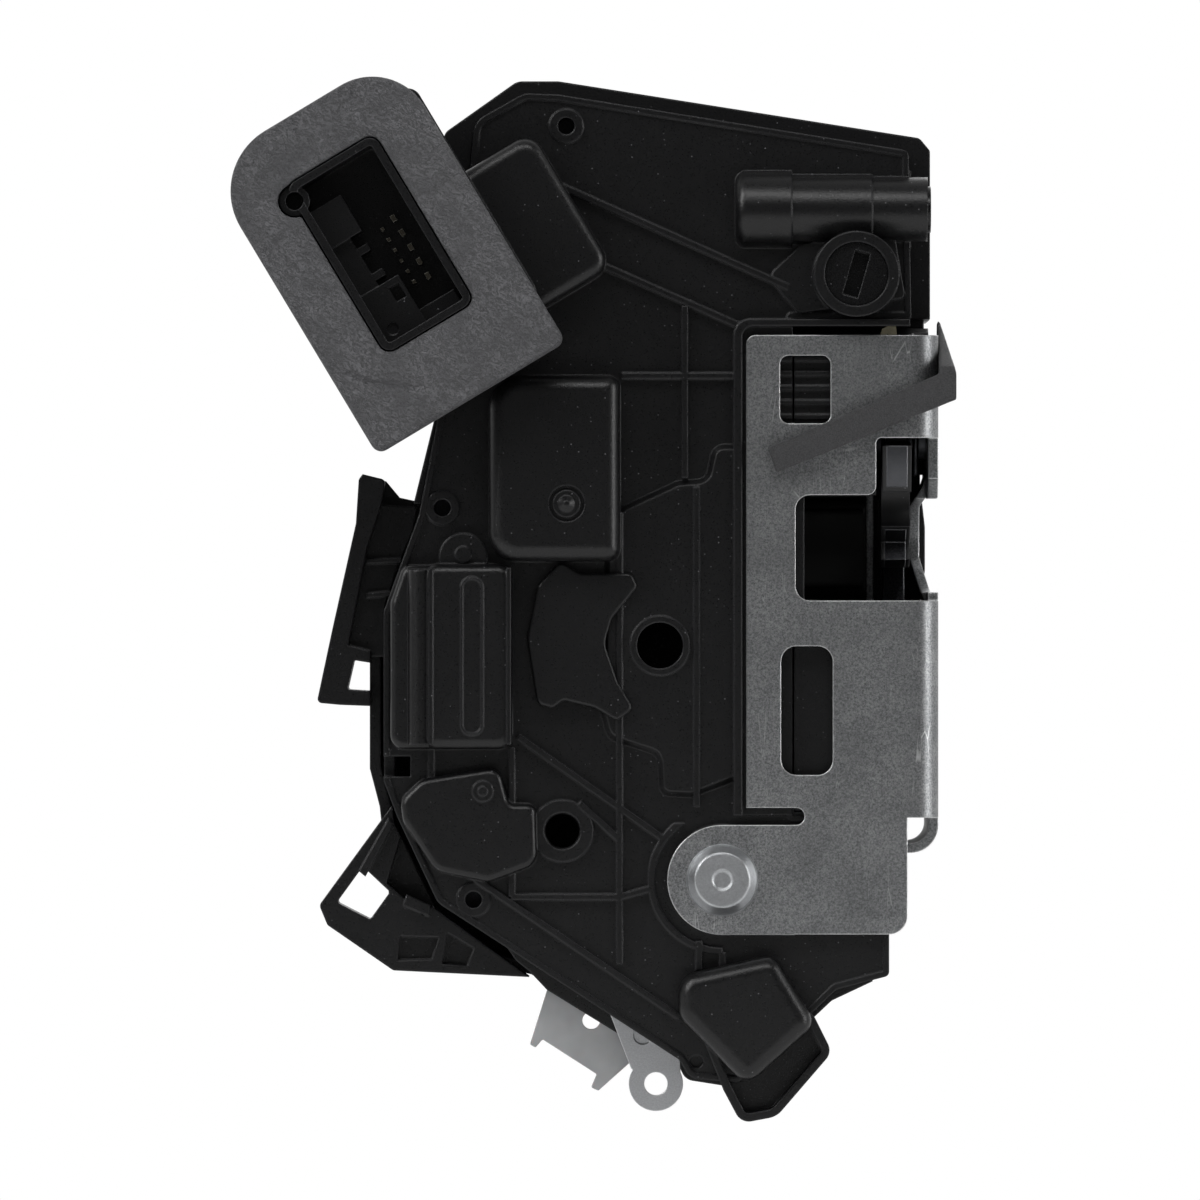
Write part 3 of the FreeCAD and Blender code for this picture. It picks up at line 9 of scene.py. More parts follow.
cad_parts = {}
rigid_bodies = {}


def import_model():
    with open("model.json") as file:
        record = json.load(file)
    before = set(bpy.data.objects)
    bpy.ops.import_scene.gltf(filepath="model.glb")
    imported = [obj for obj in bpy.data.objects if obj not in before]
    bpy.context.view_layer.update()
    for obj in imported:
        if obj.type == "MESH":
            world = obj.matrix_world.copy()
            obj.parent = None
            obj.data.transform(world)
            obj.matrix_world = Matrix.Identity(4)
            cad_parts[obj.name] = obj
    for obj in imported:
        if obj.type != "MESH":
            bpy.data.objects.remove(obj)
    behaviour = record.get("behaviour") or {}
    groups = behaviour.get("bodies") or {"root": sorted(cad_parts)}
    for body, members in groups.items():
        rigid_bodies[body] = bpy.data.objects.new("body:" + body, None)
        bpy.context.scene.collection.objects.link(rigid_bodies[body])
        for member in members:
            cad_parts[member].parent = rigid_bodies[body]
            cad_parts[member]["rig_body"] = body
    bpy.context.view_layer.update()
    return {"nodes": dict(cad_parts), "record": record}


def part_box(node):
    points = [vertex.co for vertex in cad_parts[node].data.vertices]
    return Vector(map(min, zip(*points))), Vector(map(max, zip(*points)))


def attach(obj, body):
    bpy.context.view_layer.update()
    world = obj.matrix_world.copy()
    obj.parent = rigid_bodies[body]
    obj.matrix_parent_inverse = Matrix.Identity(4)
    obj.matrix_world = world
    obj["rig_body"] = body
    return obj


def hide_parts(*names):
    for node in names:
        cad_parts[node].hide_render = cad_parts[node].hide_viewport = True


bl_info = {
    "name": "Car door lock looks",
    "version": (1, 0, 0),
    "blender": (4, 5, 0),
    "location": "View3D > Sidebar > Door lock",
    "description": "Finishes, foam parts, threads and studio for a car door lock",
    "category": "Object",
}

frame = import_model()
MM = 0.001
PLUG_TURN = math.radians(31)            # turn of the plug socket in the front view
PAD_HALF = (19.7, 30.0)                 # half the pad's width and height, in millimetres
WINDOW_HALF = (9.5, 17.75)              # half of its window's
WINDOW_AT = (0.1, 2.05)                 # middle of the window in the pad
PAD_VOXEL = 0.42                        # size of the pad's faces, in millimetres
STRIP_VOXEL = 0.3                       # size of the strip's faces
THREAD_R, THREAD_FLANK = 3.42, 0.4      # radius and flank of the M8 threads, in millimetres
# Housing screws in the front view, in millimetres
SCREW_PLACES = ((-67.1, 76.0), (-89.4, 7.2), (-83.8, -63.4), (-14.2, -72.6))
DRIVE_STEPS, DRIVE_LOBES = 48, 6
DRIVE_RIM, DRIVE_RISE = 1.5, 1.0        # radius round the lobed form and its rise, in millimetres
DRIVE_FOOT = 0.95                       # from the head's face down to its foot
PAD_LOW, PAD_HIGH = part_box("foam_pad")
RIVET_LOW, RIVET_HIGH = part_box("tongue_rivet")
PLUG_CENTRE = Vector((-99.4, 0, 52.4)) * MM
RIVET_AT = Vector(((RIVET_LOW.x + RIVET_HIGH.x) / 2, RIVET_LOW.y,
                   (RIVET_LOW.z + RIVET_HIGH.z) / 2))


def hex_colour(text):
    """sRGB hex text to the linear colour that a shader takes."""
    parts = [int(text[i:i + 2], 16) / 255 for i in (1, 3, 5)]
    return [p / 12.92 if p <= 0.04045 else ((p + 0.055) / 1.055) ** 2.4 for p in parts] + [1.0]


def add_node(tree, kind, settings=None, inputs=None):
    """Add one node. An input is given a plain value or another node's output."""
    made = tree.nodes.new(kind)
    for name, value in (settings or {}).items():
        setattr(made, name, value)
    for name, value in (inputs or {}).items():
        if isinstance(value, bpy.types.NodeSocket):
            tree.links.new(value, made.inputs[name])
        else:
            made.inputs[name].default_value = value
    return made


def new_finish(name, **constants):
    """A material with one Principled shader, whose constant inputs are set on its own sockets."""
    material = bpy.data.materials.new(name)
    material.use_nodes = True
    tree = material.node_tree
    shader = tree.nodes["Principled BSDF"]
    for key, value in constants.items():
        shader.inputs[key.replace("_", " ")].default_value = value
    return material, tree, shader


def per_mm(size):
    """Texture scale at which one cell measures this many millimetres."""
    return 1.0 / (size * MM)


def grain_of(tree, where, size, detail=2.0, roughness=0.5):
    """Noise whose cells measure size in millimetres."""
    return add_node(tree, "ShaderNodeTexNoise", None, {
        "Vector": where, "Scale": per_mm(size), "Detail": detail, "Roughness": roughness})


def spread(tree, value, low, high, to_low, to_high):
    """A value stretched from one range to another and held inside it."""
    return add_node(tree, "ShaderNodeMapRange", None, {
        "Value": value, "From Min": low, "From Max": high, "To Min": to_low,
        "To Max": to_high}).outputs["Result"]


def mixed(tree, share, first, second):
    """Two colours mixed by a share; each is a colour or an output."""
    node = add_node(tree, "ShaderNodeMix", {"data_type": "RGBA"})
    for index, value in ((0, share), (6, first), (7, second)):
        if isinstance(value, bpy.types.NodeSocket):
            tree.links.new(value, node.inputs[index])
        else:
            node.inputs[index].default_value = value
    return node.outputs[2]


def bevel_and_edge_highlight(tree, radius):
    """Rounded normal of the edges, and a share that is high on them, with which the finishes paint a
    highlight on the edges.
    """
    rounded = add_node(tree, "ShaderNodeBevel", {"samples": 6}, {"Radius": radius * MM})
    flat = add_node(tree, "ShaderNodeNewGeometry")
    dot = add_node(tree, "ShaderNodeVectorMath", {"operation": "DOT_PRODUCT"})
    tree.links.new(rounded.outputs["Normal"], dot.inputs[0])
    tree.links.new(flat.outputs["Normal"], dot.inputs[1])
    return rounded.outputs["Normal"], spread(tree, dot.outputs["Value"], 0.97, 0.72, 0.0, 1.0)


def moulded_black(name, dark, light, smooth, grain, depth, edge, radius=0.3):
    """Black glass-filled nylon, injection moulded.

    The steel of its mould is spark eroded, so the skin is a fine even grain with a
    soft shine, drawn a little coarser than it is so that it shows. The edges are
    painted paler in the edge colour, broken up by the grain: a painted highlight.
    """
    material, tree, shader = new_finish(name, IOR=1.46)
    where = add_node(tree, "ShaderNodeTexCoord").outputs["Object"]
    normal, edge_highlight_and_wear = bevel_and_edge_highlight(tree, radius)
    fine = grain_of(tree, where, grain, 3.0, 0.7)
    cloudy = grain_of(tree, where, 14.0, 2.0)
    specks = add_node(tree, "ShaderNodeTexVoronoi", None, {"Vector": where, "Scale": per_mm(1.2)})
    near = spread(tree, specks.outputs["Distance"], 0.12, 0.06, 0.0, 1.0)
    lot = add_node(tree, "ShaderNodeSeparateColor", None, {"Color": specks.outputs["Color"]})
    some = spread(tree, lot.outputs["Red"], 0.5, 0.98, 0.0, 0.55)
    dust = add_node(tree, "ShaderNodeMath", {"operation": "MULTIPLY"}, {0: near, 1: some})
    ground = mixed(tree, fine.outputs["Fac"], hex_colour(dark), hex_colour(light))
    cloud_share = spread(tree, cloudy.outputs["Fac"], 0.4, 0.65, 0.0, 0.6)
    ground = mixed(tree, cloud_share, ground, hex_colour(light))
    dusty = mixed(tree, dust.outputs[0], ground, hex_colour("#8a8a8e"))
    # Paler edges in the edge colour, broken up by the grain: a painted highlight
    painted_edge_highlight = add_node(tree, "ShaderNodeMath", {"operation": "MULTIPLY"}, {
        0: edge_highlight_and_wear, 1: fine.outputs["Fac"]})
    colour = mixed(tree, painted_edge_highlight.outputs[0], dusty, hex_colour(edge))
    tree.links.new(colour, shader.inputs["Base Color"])
    shine = spread(tree, fine.outputs["Fac"], 0.3, 0.7, smooth, smooth + 0.14)
    tree.links.new(shine, shader.inputs["Roughness"])
    relief = add_node(tree, "ShaderNodeBump", None, {
        "Strength": 0.7, "Distance": depth * MM, "Height": fine.outputs["Fac"], "Normal": normal})
    tree.links.new(relief.outputs["Normal"], shader.inputs["Normal"])
    return material


def sheet_steel(name, dark, light, grain, smooth, edge, radius=0.35, scuffs=True, rubbed=None):
    """Zinc-plated cold-rolled sheet, stamped and folded.

    Zinc crystals make a sparkling grain of light and dark specks, the sheared
    edges are bare and bright, with a painted highlight in their colour too, and
    handling leaves soft clouds and fine scratches.
    """
    material, tree, shader = new_finish(name, Metallic=1.0)
    where = add_node(tree, "ShaderNodeTexCoord").outputs["Object"]
    normal, edge_highlight_and_wear = bevel_and_edge_highlight(tree, radius)
    crystals = grain_of(tree, where, grain, 5.0, 0.85)
    clouds = grain_of(tree, where, 9.0, 3.0, 0.55)
    share = spread(tree, crystals.outputs["Fac"], 0.36, 0.66, 0.0, 1.0)
    ground = mixed(tree, share, hex_colour(dark), hex_colour(light))
    cloud_share = spread(tree, clouds.outputs["Fac"], 0.35, 0.7, 0.0, 0.35)
    clouded = mixed(tree, cloud_share, ground, hex_colour(dark))
    marks = clouded
    if scuffs:
        turned = add_node(tree, "ShaderNodeMapping", {"vector_type": "POINT"}, {
            "Vector": where, "Rotation": (0.0, math.radians(28), 0.0), "Scale": (1.0, 1.0, 0.10)})
        streaks = add_node(tree, "ShaderNodeTexVoronoi", {"feature": "DISTANCE_TO_EDGE"}, {
            "Vector": turned.outputs["Vector"], "Scale": per_mm(2.3), "Randomness": 1.0})
        thin = spread(tree, streaks.outputs["Distance"], 0.012, 0.004, 0.0, 1.0)
        patches = spread(tree, grain_of(tree, where, 7.0, 1.0).outputs["Fac"], 0.6, 0.68, 0.0, 0.55)
        scratch = add_node(tree, "ShaderNodeMath", {"operation": "MULTIPLY"}, {0: thin, 1: patches})
        marks = mixed(tree, scratch.outputs[0], clouded, hex_colour(edge))
    if rubbed:
        height = add_node(tree, "ShaderNodeSeparateXYZ", None, {"Vector": where}).outputs["Z"]
        from_low = spread(tree, height, (rubbed[0] - 0.3) * MM, (rubbed[0] + 0.3) * MM, 0.0, 1.0)
        patchy = spread(tree, clouds.outputs["Fac"], 0.3, 0.6, 0.35, 1.0)
        bare = add_node(tree, "ShaderNodeMath", {"operation": "MULTIPLY"}, {0: from_low, 1: patchy})
        marks = mixed(tree, bare.outputs[0], marks, hex_colour(rubbed[1]))
    # Paler edges: bare sheared metal, and a painted highlight
    colour = mixed(tree, edge_highlight_and_wear, marks, hex_colour(edge))
    tree.links.new(colour, shader.inputs["Base Color"])
    shine = spread(tree, crystals.outputs["Fac"], 0.3, 0.7, smooth + 0.12, smooth)
    tree.links.new(shine, shader.inputs["Roughness"])
    relief = add_node(tree, "ShaderNodeBump", None, {
        "Strength": 0.8, "Distance": 0.03 * MM, "Height": crystals.outputs["Fac"], "Normal": normal})
    tree.links.new(relief.outputs["Normal"], shader.inputs["Normal"])
    return material


def machined_steel(name, light, dark, smooth, axis, centre, ring):
    """Turned steel: faint rings of the tool round its axis, and edges painted bright as a highlight.

    Two rings lie 2 pi times the given size apart, far wider than a tool leaves them.
    """
    material, tree, shader = new_finish(name, Metallic=1.0)
    where = add_node(tree, "ShaderNodeTexCoord").outputs["Object"]
    normal, edge_highlight_and_wear = bevel_and_edge_highlight(tree, 0.7)
    placed = add_node(tree, "ShaderNodeMapping", {"vector_type": "TEXTURE"}, {
        "Vector": where, "Location": centre})
    rings = add_node(tree, "ShaderNodeTexWave", {
        "wave_type": "RINGS", "rings_direction": axis}, {
        "Vector": placed.outputs["Vector"], "Scale": per_mm(ring) / 20, "Distortion": 0.4,
        "Detail": 2.0})
    speck = grain_of(tree, where, 0.3, 3.0, 0.7)
    ground = mixed(tree, speck.outputs["Fac"], hex_colour(dark), hex_colour(light))
    # Edges near white: a painted highlight
    tree.links.new(mixed(tree, edge_highlight_and_wear, ground, hex_colour("#eceef0")), shader.inputs["Base Color"])
    tree.links.new(spread(tree, speck.outputs["Fac"], 0.3, 0.7, smooth, smooth + 0.15),
                   shader.inputs["Roughness"])
    relief = add_node(tree, "ShaderNodeBump", None, {
        "Strength": 0.3, "Distance": 0.01 * MM, "Height": rings.outputs["Fac"], "Normal": normal})
    tree.links.new(relief.outputs["Normal"], shader.inputs["Normal"])
    return material


def pale_acetal(name, dark, light):
    """Moulded pale acetal: waxy, faintly see-through, with a satin skin and soft paler and darker patches at
    random.
    """
    material, tree, shader = new_finish(
        name, IOR=1.48, Subsurface_Weight=0.12, Subsurface_Scale=0.6 * MM)
    where = add_node(tree, "ShaderNodeTexCoord").outputs["Object"]
    normal, edge_highlight_and_wear = bevel_and_edge_highlight(tree, 0.25)
    tone_patches = grain_of(tree, where, 6.0, 2.0)
    skin = grain_of(tree, where, 0.35, 2.0)
    # Paler and darker patches of tone at random
    ground = mixed(tree, tone_patches.outputs["Fac"], hex_colour(dark), hex_colour(light))
    # Edges half way to near white: a painted highlight
    half = add_node(tree, "ShaderNodeMath", {"operation": "MULTIPLY"}, {0: edge_highlight_and_wear, 1: 0.5})
    tree.links.new(mixed(tree, half.outputs[0], ground, hex_colour("#f4f4f2")),
                   shader.inputs["Base Color"])
    tree.links.new(spread(tree, skin.outputs["Fac"], 0.3, 0.7, 0.38, 0.5), shader.inputs["Roughness"])
    relief = add_node(tree, "ShaderNodeBump", None, {
        "Strength": 0.25, "Distance": 0.02 * MM, "Height": skin.outputs["Fac"], "Normal": normal})
    tree.links.new(relief.outputs["Normal"], shader.inputs["Normal"])
    return material


def skinned_foam(name, dark, light, crease_size, turn, creased=1.0):
    """Closed-cell polyurethane foam with a moulded skin.

    The skin creases like thin leather: short wavering folds, mostly one way and
    stronger in some places than in others, over fine pores. The folds are also
    painted darker, a painted shade. A cut strip of the same foam has the pores only.
    """
    material, tree, shader = new_finish(name, IOR=1.45, Sheen_Weight=0.1, Sheen_Roughness=0.5)
    where = add_node(tree, "ShaderNodeTexCoord").outputs["Object"]
    laid = add_node(tree, "ShaderNodeMapping", {"vector_type": "TEXTURE"}, {
        "Vector": where, "Rotation": (0.0, turn, 0.0), "Scale": (2.3, 1.0, 1.0)})
    wander = grain_of(tree, where, 2.6, 3.0, 0.6)
    bent = add_node(tree, "ShaderNodeVectorMath", {"operation": "MULTIPLY_ADD"}, {
        0: wander.outputs["Color"], 1: (2.4 * MM,) * 3, 2: laid.outputs["Vector"]})
    ripples = grain_of(tree, bent.outputs[0], crease_size, 5.0, 0.62)
    folded = add_node(tree, "ShaderNodeMath", {"operation": "PINGPONG"}, {
        0: ripples.outputs["Fac"], 1: 0.09})
    skin = spread(tree, folded.outputs[0], 0.0, 0.07, 0.0, 1.0)
    patches = spread(tree, grain_of(tree, where, 6.0, 2.0).outputs["Fac"], 0.38, 0.62,
                     0.35 * creased, 1.0 * creased)
    pores = grain_of(tree, where, 0.28, 3.0, 0.8)
    valleys = add_node(tree, "ShaderNodeMath", {"operation": "MULTIPLY"}, {0: skin, 1: patches})
    high = add_node(tree, "ShaderNodeMath", {"operation": "MULTIPLY_ADD"}, {
        0: pores.outputs["Fac"], 1: 0.9, 2: valleys.outputs[0]})
    # Darker along the folds: painted shade in the creases, over the pores' own tone
    share = spread(tree, high.outputs[0], 0.35, 0.6 + 0.7 * creased, 0.0, 1.0)
    tree.links.new(mixed(tree, share, hex_colour(dark), hex_colour(light)),
                   shader.inputs["Base Color"])
    tree.links.new(spread(tree, pores.outputs["Fac"], 0.3, 0.7, 0.46, 0.7), shader.inputs["Roughness"])
    relief = add_node(tree, "ShaderNodeBump", None, {
        "Strength": 1.0, "Distance": 0.4 * MM, "Height": high.outputs[0]})
    tree.links.new(relief.outputs["Normal"], shader.inputs["Normal"])
    return material


def buffer_rubber(name):
    """Moulded nitrile rubber: nearly black, dull, with a bloom of pale dust."""
    material, tree, shader = new_finish(name, IOR=1.52)
    where = add_node(tree, "ShaderNodeTexCoord").outputs["Object"]
    bloom = grain_of(tree, where, 1.2, 4.0, 0.6)
    tree.links.new(mixed(tree, bloom.outputs["Fac"], hex_colour("#121212"), hex_colour("#2c2c2c")),
                   shader.inputs["Base Color"])
    tree.links.new(spread(tree, bloom.outputs["Fac"], 0.3, 0.7, 0.62, 0.8), shader.inputs["Roughness"])
    relief = add_node(tree, "ShaderNodeBump", None, {
        "Strength": 0.3, "Distance": 0.03 * MM, "Height": bloom.outputs["Fac"]})
    tree.links.new(relief.outputs["Normal"], shader.inputs["Normal"])
    return material


def film_tab_finish():
    """Thin yellowish polyamide film: glossy, clear, with a faint haze."""
    material, tree, shader = new_finish(
        "yellow_polyamide_film", IOR=1.5, Transmission_Weight=0.45)
    where = add_node(tree, "ShaderNodeTexCoord").outputs["Object"]
    haze = grain_of(tree, where, 0.8, 2.0)
    tree.links.new(mixed(tree, haze.outputs["Fac"], hex_colour("#5b5646"), hex_colour("#8d866c")),
                   shader.inputs["Base Color"])
    tree.links.new(spread(tree, haze.outputs["Fac"], 0.3, 0.7, 0.25, 0.45), shader.inputs["Roughness"])
    return material


FINISHES = {}


def make_finishes(looks):
    """Every finish once, by the name of the record's slot that it dresses."""
    FINISHES.update({
        "black_nylon": moulded_black("moulded_glass_filled_nylon", looks.nylon_dark, looks.nylon_light,
                                     0.25, looks.nylon_grain, 0.05, "#303033", looks.edge_round),
        "gloss_black": moulded_black("moulded_gloss_acetal", "#060607", "#0b0b0c", 0.2, 0.3, 0.006,
                                     "#2c2c2f", 0.4),
        "socket_plastic": moulded_black("moulded_polyester_socket", "#080809", "#101011", 0.24, 0.25,
                                        0.01, "#38383b", 0.3),
        "switch_plastic": moulded_black("moulded_polyester_carrier", "#151517", "#222225", 0.4, 0.3,
                                        0.012, "#4c4c50", 0.2),
        "coat_plastic": moulded_black("moulded_elastomer_coat", "#0c0c0d", "#171718", 0.4, 0.4, 0.02,
                                      "#3a3a3e", 0.4),
        "zinc_plated_steel": sheet_steel("zinc_plated_sheet_steel", looks.zinc_dark, looks.zinc_light,
                                         looks.zinc_grain, 0.34, "#f7f8f8", 0.4),
        "pale_steel": sheet_steel("zinc_plated_lever_steel", "#b4b5b8", "#d6d8da", 0.3, 0.3, "#f7f8f8",
                                  0.25, False),
        "hardened_steel": sheet_steel("phosphated_case_hardened_steel", "#1c1c1e", "#48494c", 0.35, 0.36,
                                      "#9fa0a3", 0.4, False, (9.6, "#58595c")),
        "spring_steel": sheet_steel("oiled_spring_wire", "#3a3b3d", "#6a6b6e", 0.25, 0.3, "#a5a7aa", 0.15,
                                    False),
        "motor_steel": sheet_steel("deep_drawn_nickel_steel", "#a4a6a8", "#c9cbcc", 0.3, 0.22, "#eef0f0",
                                   0.4, False),
        "screw_steel": sheet_steel("black_zinc_screw_steel", "#2a2a2c", "#5a5b5e", 0.25, 0.36, "#9d9ea2",
                                   0.2, False),
        "tinned_brass": sheet_steel("tinned_brass_strip", "#4a473f", "#6f6b61", 0.25, 0.26, "#f3f1e8",
                                    0.1, False),
        "turned_steel": machined_steel("turned_rivet_steel", "#d2d4d6", "#9fa1a4", 0.3, "Y",
                                       RIVET_AT, 0.28),
        "pale_plastic": pale_acetal("pale_grey_acetal", "#8b8c8e", "#b4b5b6"),
        "gear_plastic": pale_acetal("natural_acetal_gear", "#c8c4b6", "#e2dfd4"),
        "soft_foam": skinned_foam("skinned_polyurethane_foam", looks.foam_dark, looks.foam_light,
                                  looks.crease_size, PLUG_TURN),
        "strip_foam": skinned_foam("cut_polyurethane_strip", "#1f1f20", "#444446", 1.0, 0.0, 0.0),
        "rubber_buffer": buffer_rubber("moulded_nitrile_rubber"),
    })


def dress(node):
    """Give one CAD node the finish of its slot in the record."""
    slots = {part["node"]: part["material_slot"] for part in frame["record"]["subparts"]}
    mesh = frame["nodes"][node].data
    mesh.materials.clear()
    mesh.materials.append(FINISHES[slots[node]])


def body_of_node(node):
    """Name of the body that a CAD node belongs to."""
    return frame["nodes"][node]["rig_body"]


def solid_copy(node, name):
    """Merged copy of a CAD node's mesh as a new object at the origin."""
    mesh = frame["nodes"][node].data.copy()
    mesh.name = name
    work = bmesh.new()
    work.from_mesh(mesh)
    bmesh.ops.remove_doubles(work, verts=work.verts, dist=1e-6)
    work.to_mesh(mesh)
    work.free()
    made = bpy.data.objects.new(name, mesh)
    bpy.context.scene.collection.objects.link(made)
    return made


def settle(obj):
    """Turn what an object's modifiers and shape give into its plain mesh."""
    graph = bpy.context.evaluated_depsgraph_get()
    mesh = bpy.data.meshes.new_from_object(obj.evaluated_get(graph))
    mesh.transform(obj.matrix_world)
    if obj.type != "MESH":
        made = bpy.data.objects.new(obj.name + "_made", mesh)
        bpy.context.scene.collection.objects.link(made)
        bpy.data.objects.remove(obj)
        return made
    obj.modifiers.clear()
    obj.data = mesh
    obj.matrix_world = Matrix.Identity(4)
    return obj


def remeshed(obj, voxel):
    """Even small faces all over a closed piece."""
    change = obj.modifiers.new("even_faces", "REMESH")
    change.mode = "VOXEL"
    change.voxel_size = voxel
    change.use_smooth_shade = True
    return settle(obj)


def finish_piece(obj, body, slot, replaced=(), finish=None):
    """Finish, body and slot of a new piece."""
    obj.data.materials.clear()
    obj.data.materials.append(FINISHES[finish or slot])
    for polygon in obj.data.polygons:
        polygon.use_smooth = True
    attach(obj, body)
    if replaced:
        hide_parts(*replaced)
    return obj


def pad_place(point):
    """Place of a point in the plug's own frame, in millimetres."""
    turned = Matrix.Rotation(PLUG_TURN, 3, "Y") @ (point - PLUG_CENTRE)
    return turned.x / MM, turned.z / MM


def distance_to_line(x, z, line):
    """Distance to a line of points, and how far along it from 0 to 1."""
    best, along = 1e9, 0.0
    for index, ((x0, z0), (x1, z1)) in enumerate(zip(line, line[1:])):
        run_x, run_z = x1 - x0, z1 - z0
        share = ((x - x0) * run_x + (z - z0) * run_z) / (run_x ** 2 + run_z ** 2)
        share = min(max(share, 0.0), 1.0)
        gap = math.hypot(x - x0 - share * run_x, z - z0 - share * run_z)
        if gap < best:
            best, along = gap, (index + share) / (len(line) - 1)
    return best, along


# Folds of the foam's skin in the plug's own frame: depth, width and the line, in millimetres
PAD_FOLDS = [
    (0.55, 0.50, [(-17.6, -14.2), (-14.0, -18.4), (-8.6, -22.6), (-4.4, -24.2)]),
    (0.30, 0.45, [(-2.0, 29.4), (-2.6, 26.6), (-2.9, 25.2)]),
    (0.28, 0.40, [(10.6, 29.0), (9.4, 27.4), (7.9, 26.9)]),
    (0.28, 1.60, [(-18.8, 18.6), (-14.6, 21.8), (-9.0, 22.4), (-1.0, 23.9)]),
    (0.20, 0.45, [(-10.2, -29.0), (-8.4, -26.8), (-5.6, -25.6)]),
    (0.16, 0.40, [(11.6, 12.4), (14.4, 11.2), (18.2, 11.6)]),
    (0.16, 0.40, [(11.4, 6.8), (15.0, 5.4), (18.6, 6.0)]),
    (0.18, 0.40, [(-19.0, 11.0), (-16.0, 12.4), (-12.6, 12.2)]),
]


def make_foam_pad(looks):
    """Die-cut foam pad: crowned face, rolled edges, folds pressed into its skin."""
    pad = remeshed(solid_copy("foam_pad", "foam_pad_soft"), PAD_VOXEL * MM)
    face, back = PAD_LOW.y, PAD_HIGH.y
    deep = back - face
    for vertex in pad.data.vertices:
        across, up = pad_place(vertex.co)
        near = 1.0 - (vertex.co.y - face) / deep
        rim = min(PAD_HALF[0] - abs(across), PAD_HALF[1] - abs(up))
        window = max(abs(across - WINDOW_AT[0]) - WINDOW_HALF[0],
                     abs(up - WINDOW_AT[1]) - WINDOW_HALF[1])
        edge = max(min(rim, window), 0.0)
        crown = looks.pad_crown * MM * min(edge / 4.0, 1.0) ** 0.5
        drop = (looks.pad_crown * MM - crown) * near ** 2
        wave = noise.noise(Vector((across, up, 3.0)) * 0.16) * 0.22 * MM * near
        for depth, width, line in PAD_FOLDS:
            gap, along = distance_to_line(across, up, line)
            if gap < 3 * width:
                taper = min(1.0, 5 * (1 - along)) * min(1.0, 5 * along + 0.35)
                groove = (math.exp(-(gap / width) ** 2)
                          - 0.35 * math.exp(-((gap - 1.7 * width) / width) ** 2))
                drop += depth * MM * groove * taper * near ** 3
        vertex.co.y = max(vertex.co.y + drop + wave * (edge > 0.3), face)
    finish_piece(pad, body_of_node("foam_pad"), "soft_foam", ["foam_pad"])


def make_foam_strip():
    """Sealing strip with a slightly uneven cut edge and soft corners."""
    strip = remeshed(solid_copy("foam_strip", "foam_strip_soft"), STRIP_VOXEL * MM)
    soften = strip.modifiers.new("soft_corners", "SMOOTH")
    soften.factor, soften.iterations = 0.5, 4
    strip = settle(strip)
    low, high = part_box("foam_strip")
    for vertex in strip.data.vertices:
        shift = noise.noise(vertex.co * 420.0) * 0.10 * MM
        vertex.co += Vector((0.0, 0.35, 1.0)) * shift
        vertex.co = Vector(min(max(vertex.co[i], low[i]), high[i]) for i in range(3))
    finish_piece(strip, body_of_node("foam_strip"), "soft_foam", ["foam_strip"], "strip_foam")


def node_group(name, inputs):
    """Empty geometry tree with named inputs, its input node and its output node."""
    tree = bpy.data.node_groups.new(name, "GeometryNodeTree")
    tree.interface.new_socket("Geometry", in_out="INPUT", socket_type="NodeSocketGeometry")
    for label, kind, value in inputs:
        socket = tree.interface.new_socket(label, in_out="INPUT", socket_type=kind)
        if value is not None:
            socket.default_value = value
    tree.interface.new_socket("Geometry", in_out="OUTPUT", socket_type="NodeSocketGeometry")
    return tree, tree.nodes.new("NodeGroupInput"), tree.nodes.new("NodeGroupOutput")


def thread_tree():
    """Helical thread of a bore: a spiral with a three-sided profile along it."""
    tree, given, result = node_group("bore_thread", [
        ("Turns", "NodeSocketFloat", 8.0), ("Radius", "NodeSocketFloat", 3.3 * MM),
        ("Length", "NodeSocketFloat", 10.0 * MM), ("Flank", "NodeSocketFloat", 0.42 * MM),
        ("Place", "NodeSocketVector", (0.0, 0.0, 0.0)), ("Turn", "NodeSocketVector", (0.0, 0.0, 0.0)),
        ("Finish", "NodeSocketMaterial", None)])
    spiral = add_node(tree, "GeometryNodeCurveSpiral", None, {
        "Resolution": 28, "Rotations": given.outputs["Turns"], "Start Radius": given.outputs["Radius"],
        "End Radius": given.outputs["Radius"], "Height": given.outputs["Length"]})
    flank = add_node(tree, "GeometryNodeCurvePrimitiveCircle", None, {
        "Resolution": 3, "Radius": given.outputs["Flank"]})
    swept = add_node(tree, "GeometryNodeCurveToMesh", None, {
        "Curve": spiral.outputs["Curve"], "Profile Curve": flank.outputs["Curve"], "Fill Caps": True})
    placed = add_node(tree, "GeometryNodeTransform", None, {
        "Geometry": swept.outputs["Mesh"], "Translation": given.outputs["Place"],
        "Rotation": given.outputs["Turn"]})
    real = add_node(tree, "GeometryNodeRealizeInstances", None, {"Geometry": placed.outputs[0]})
    dressed = add_node(tree, "GeometryNodeSetMaterial", None, {
        "Geometry": real.outputs[0], "Material": given.outputs["Finish"]})
    tree.links.new(dressed.outputs[0], result.inputs[0])
    return tree


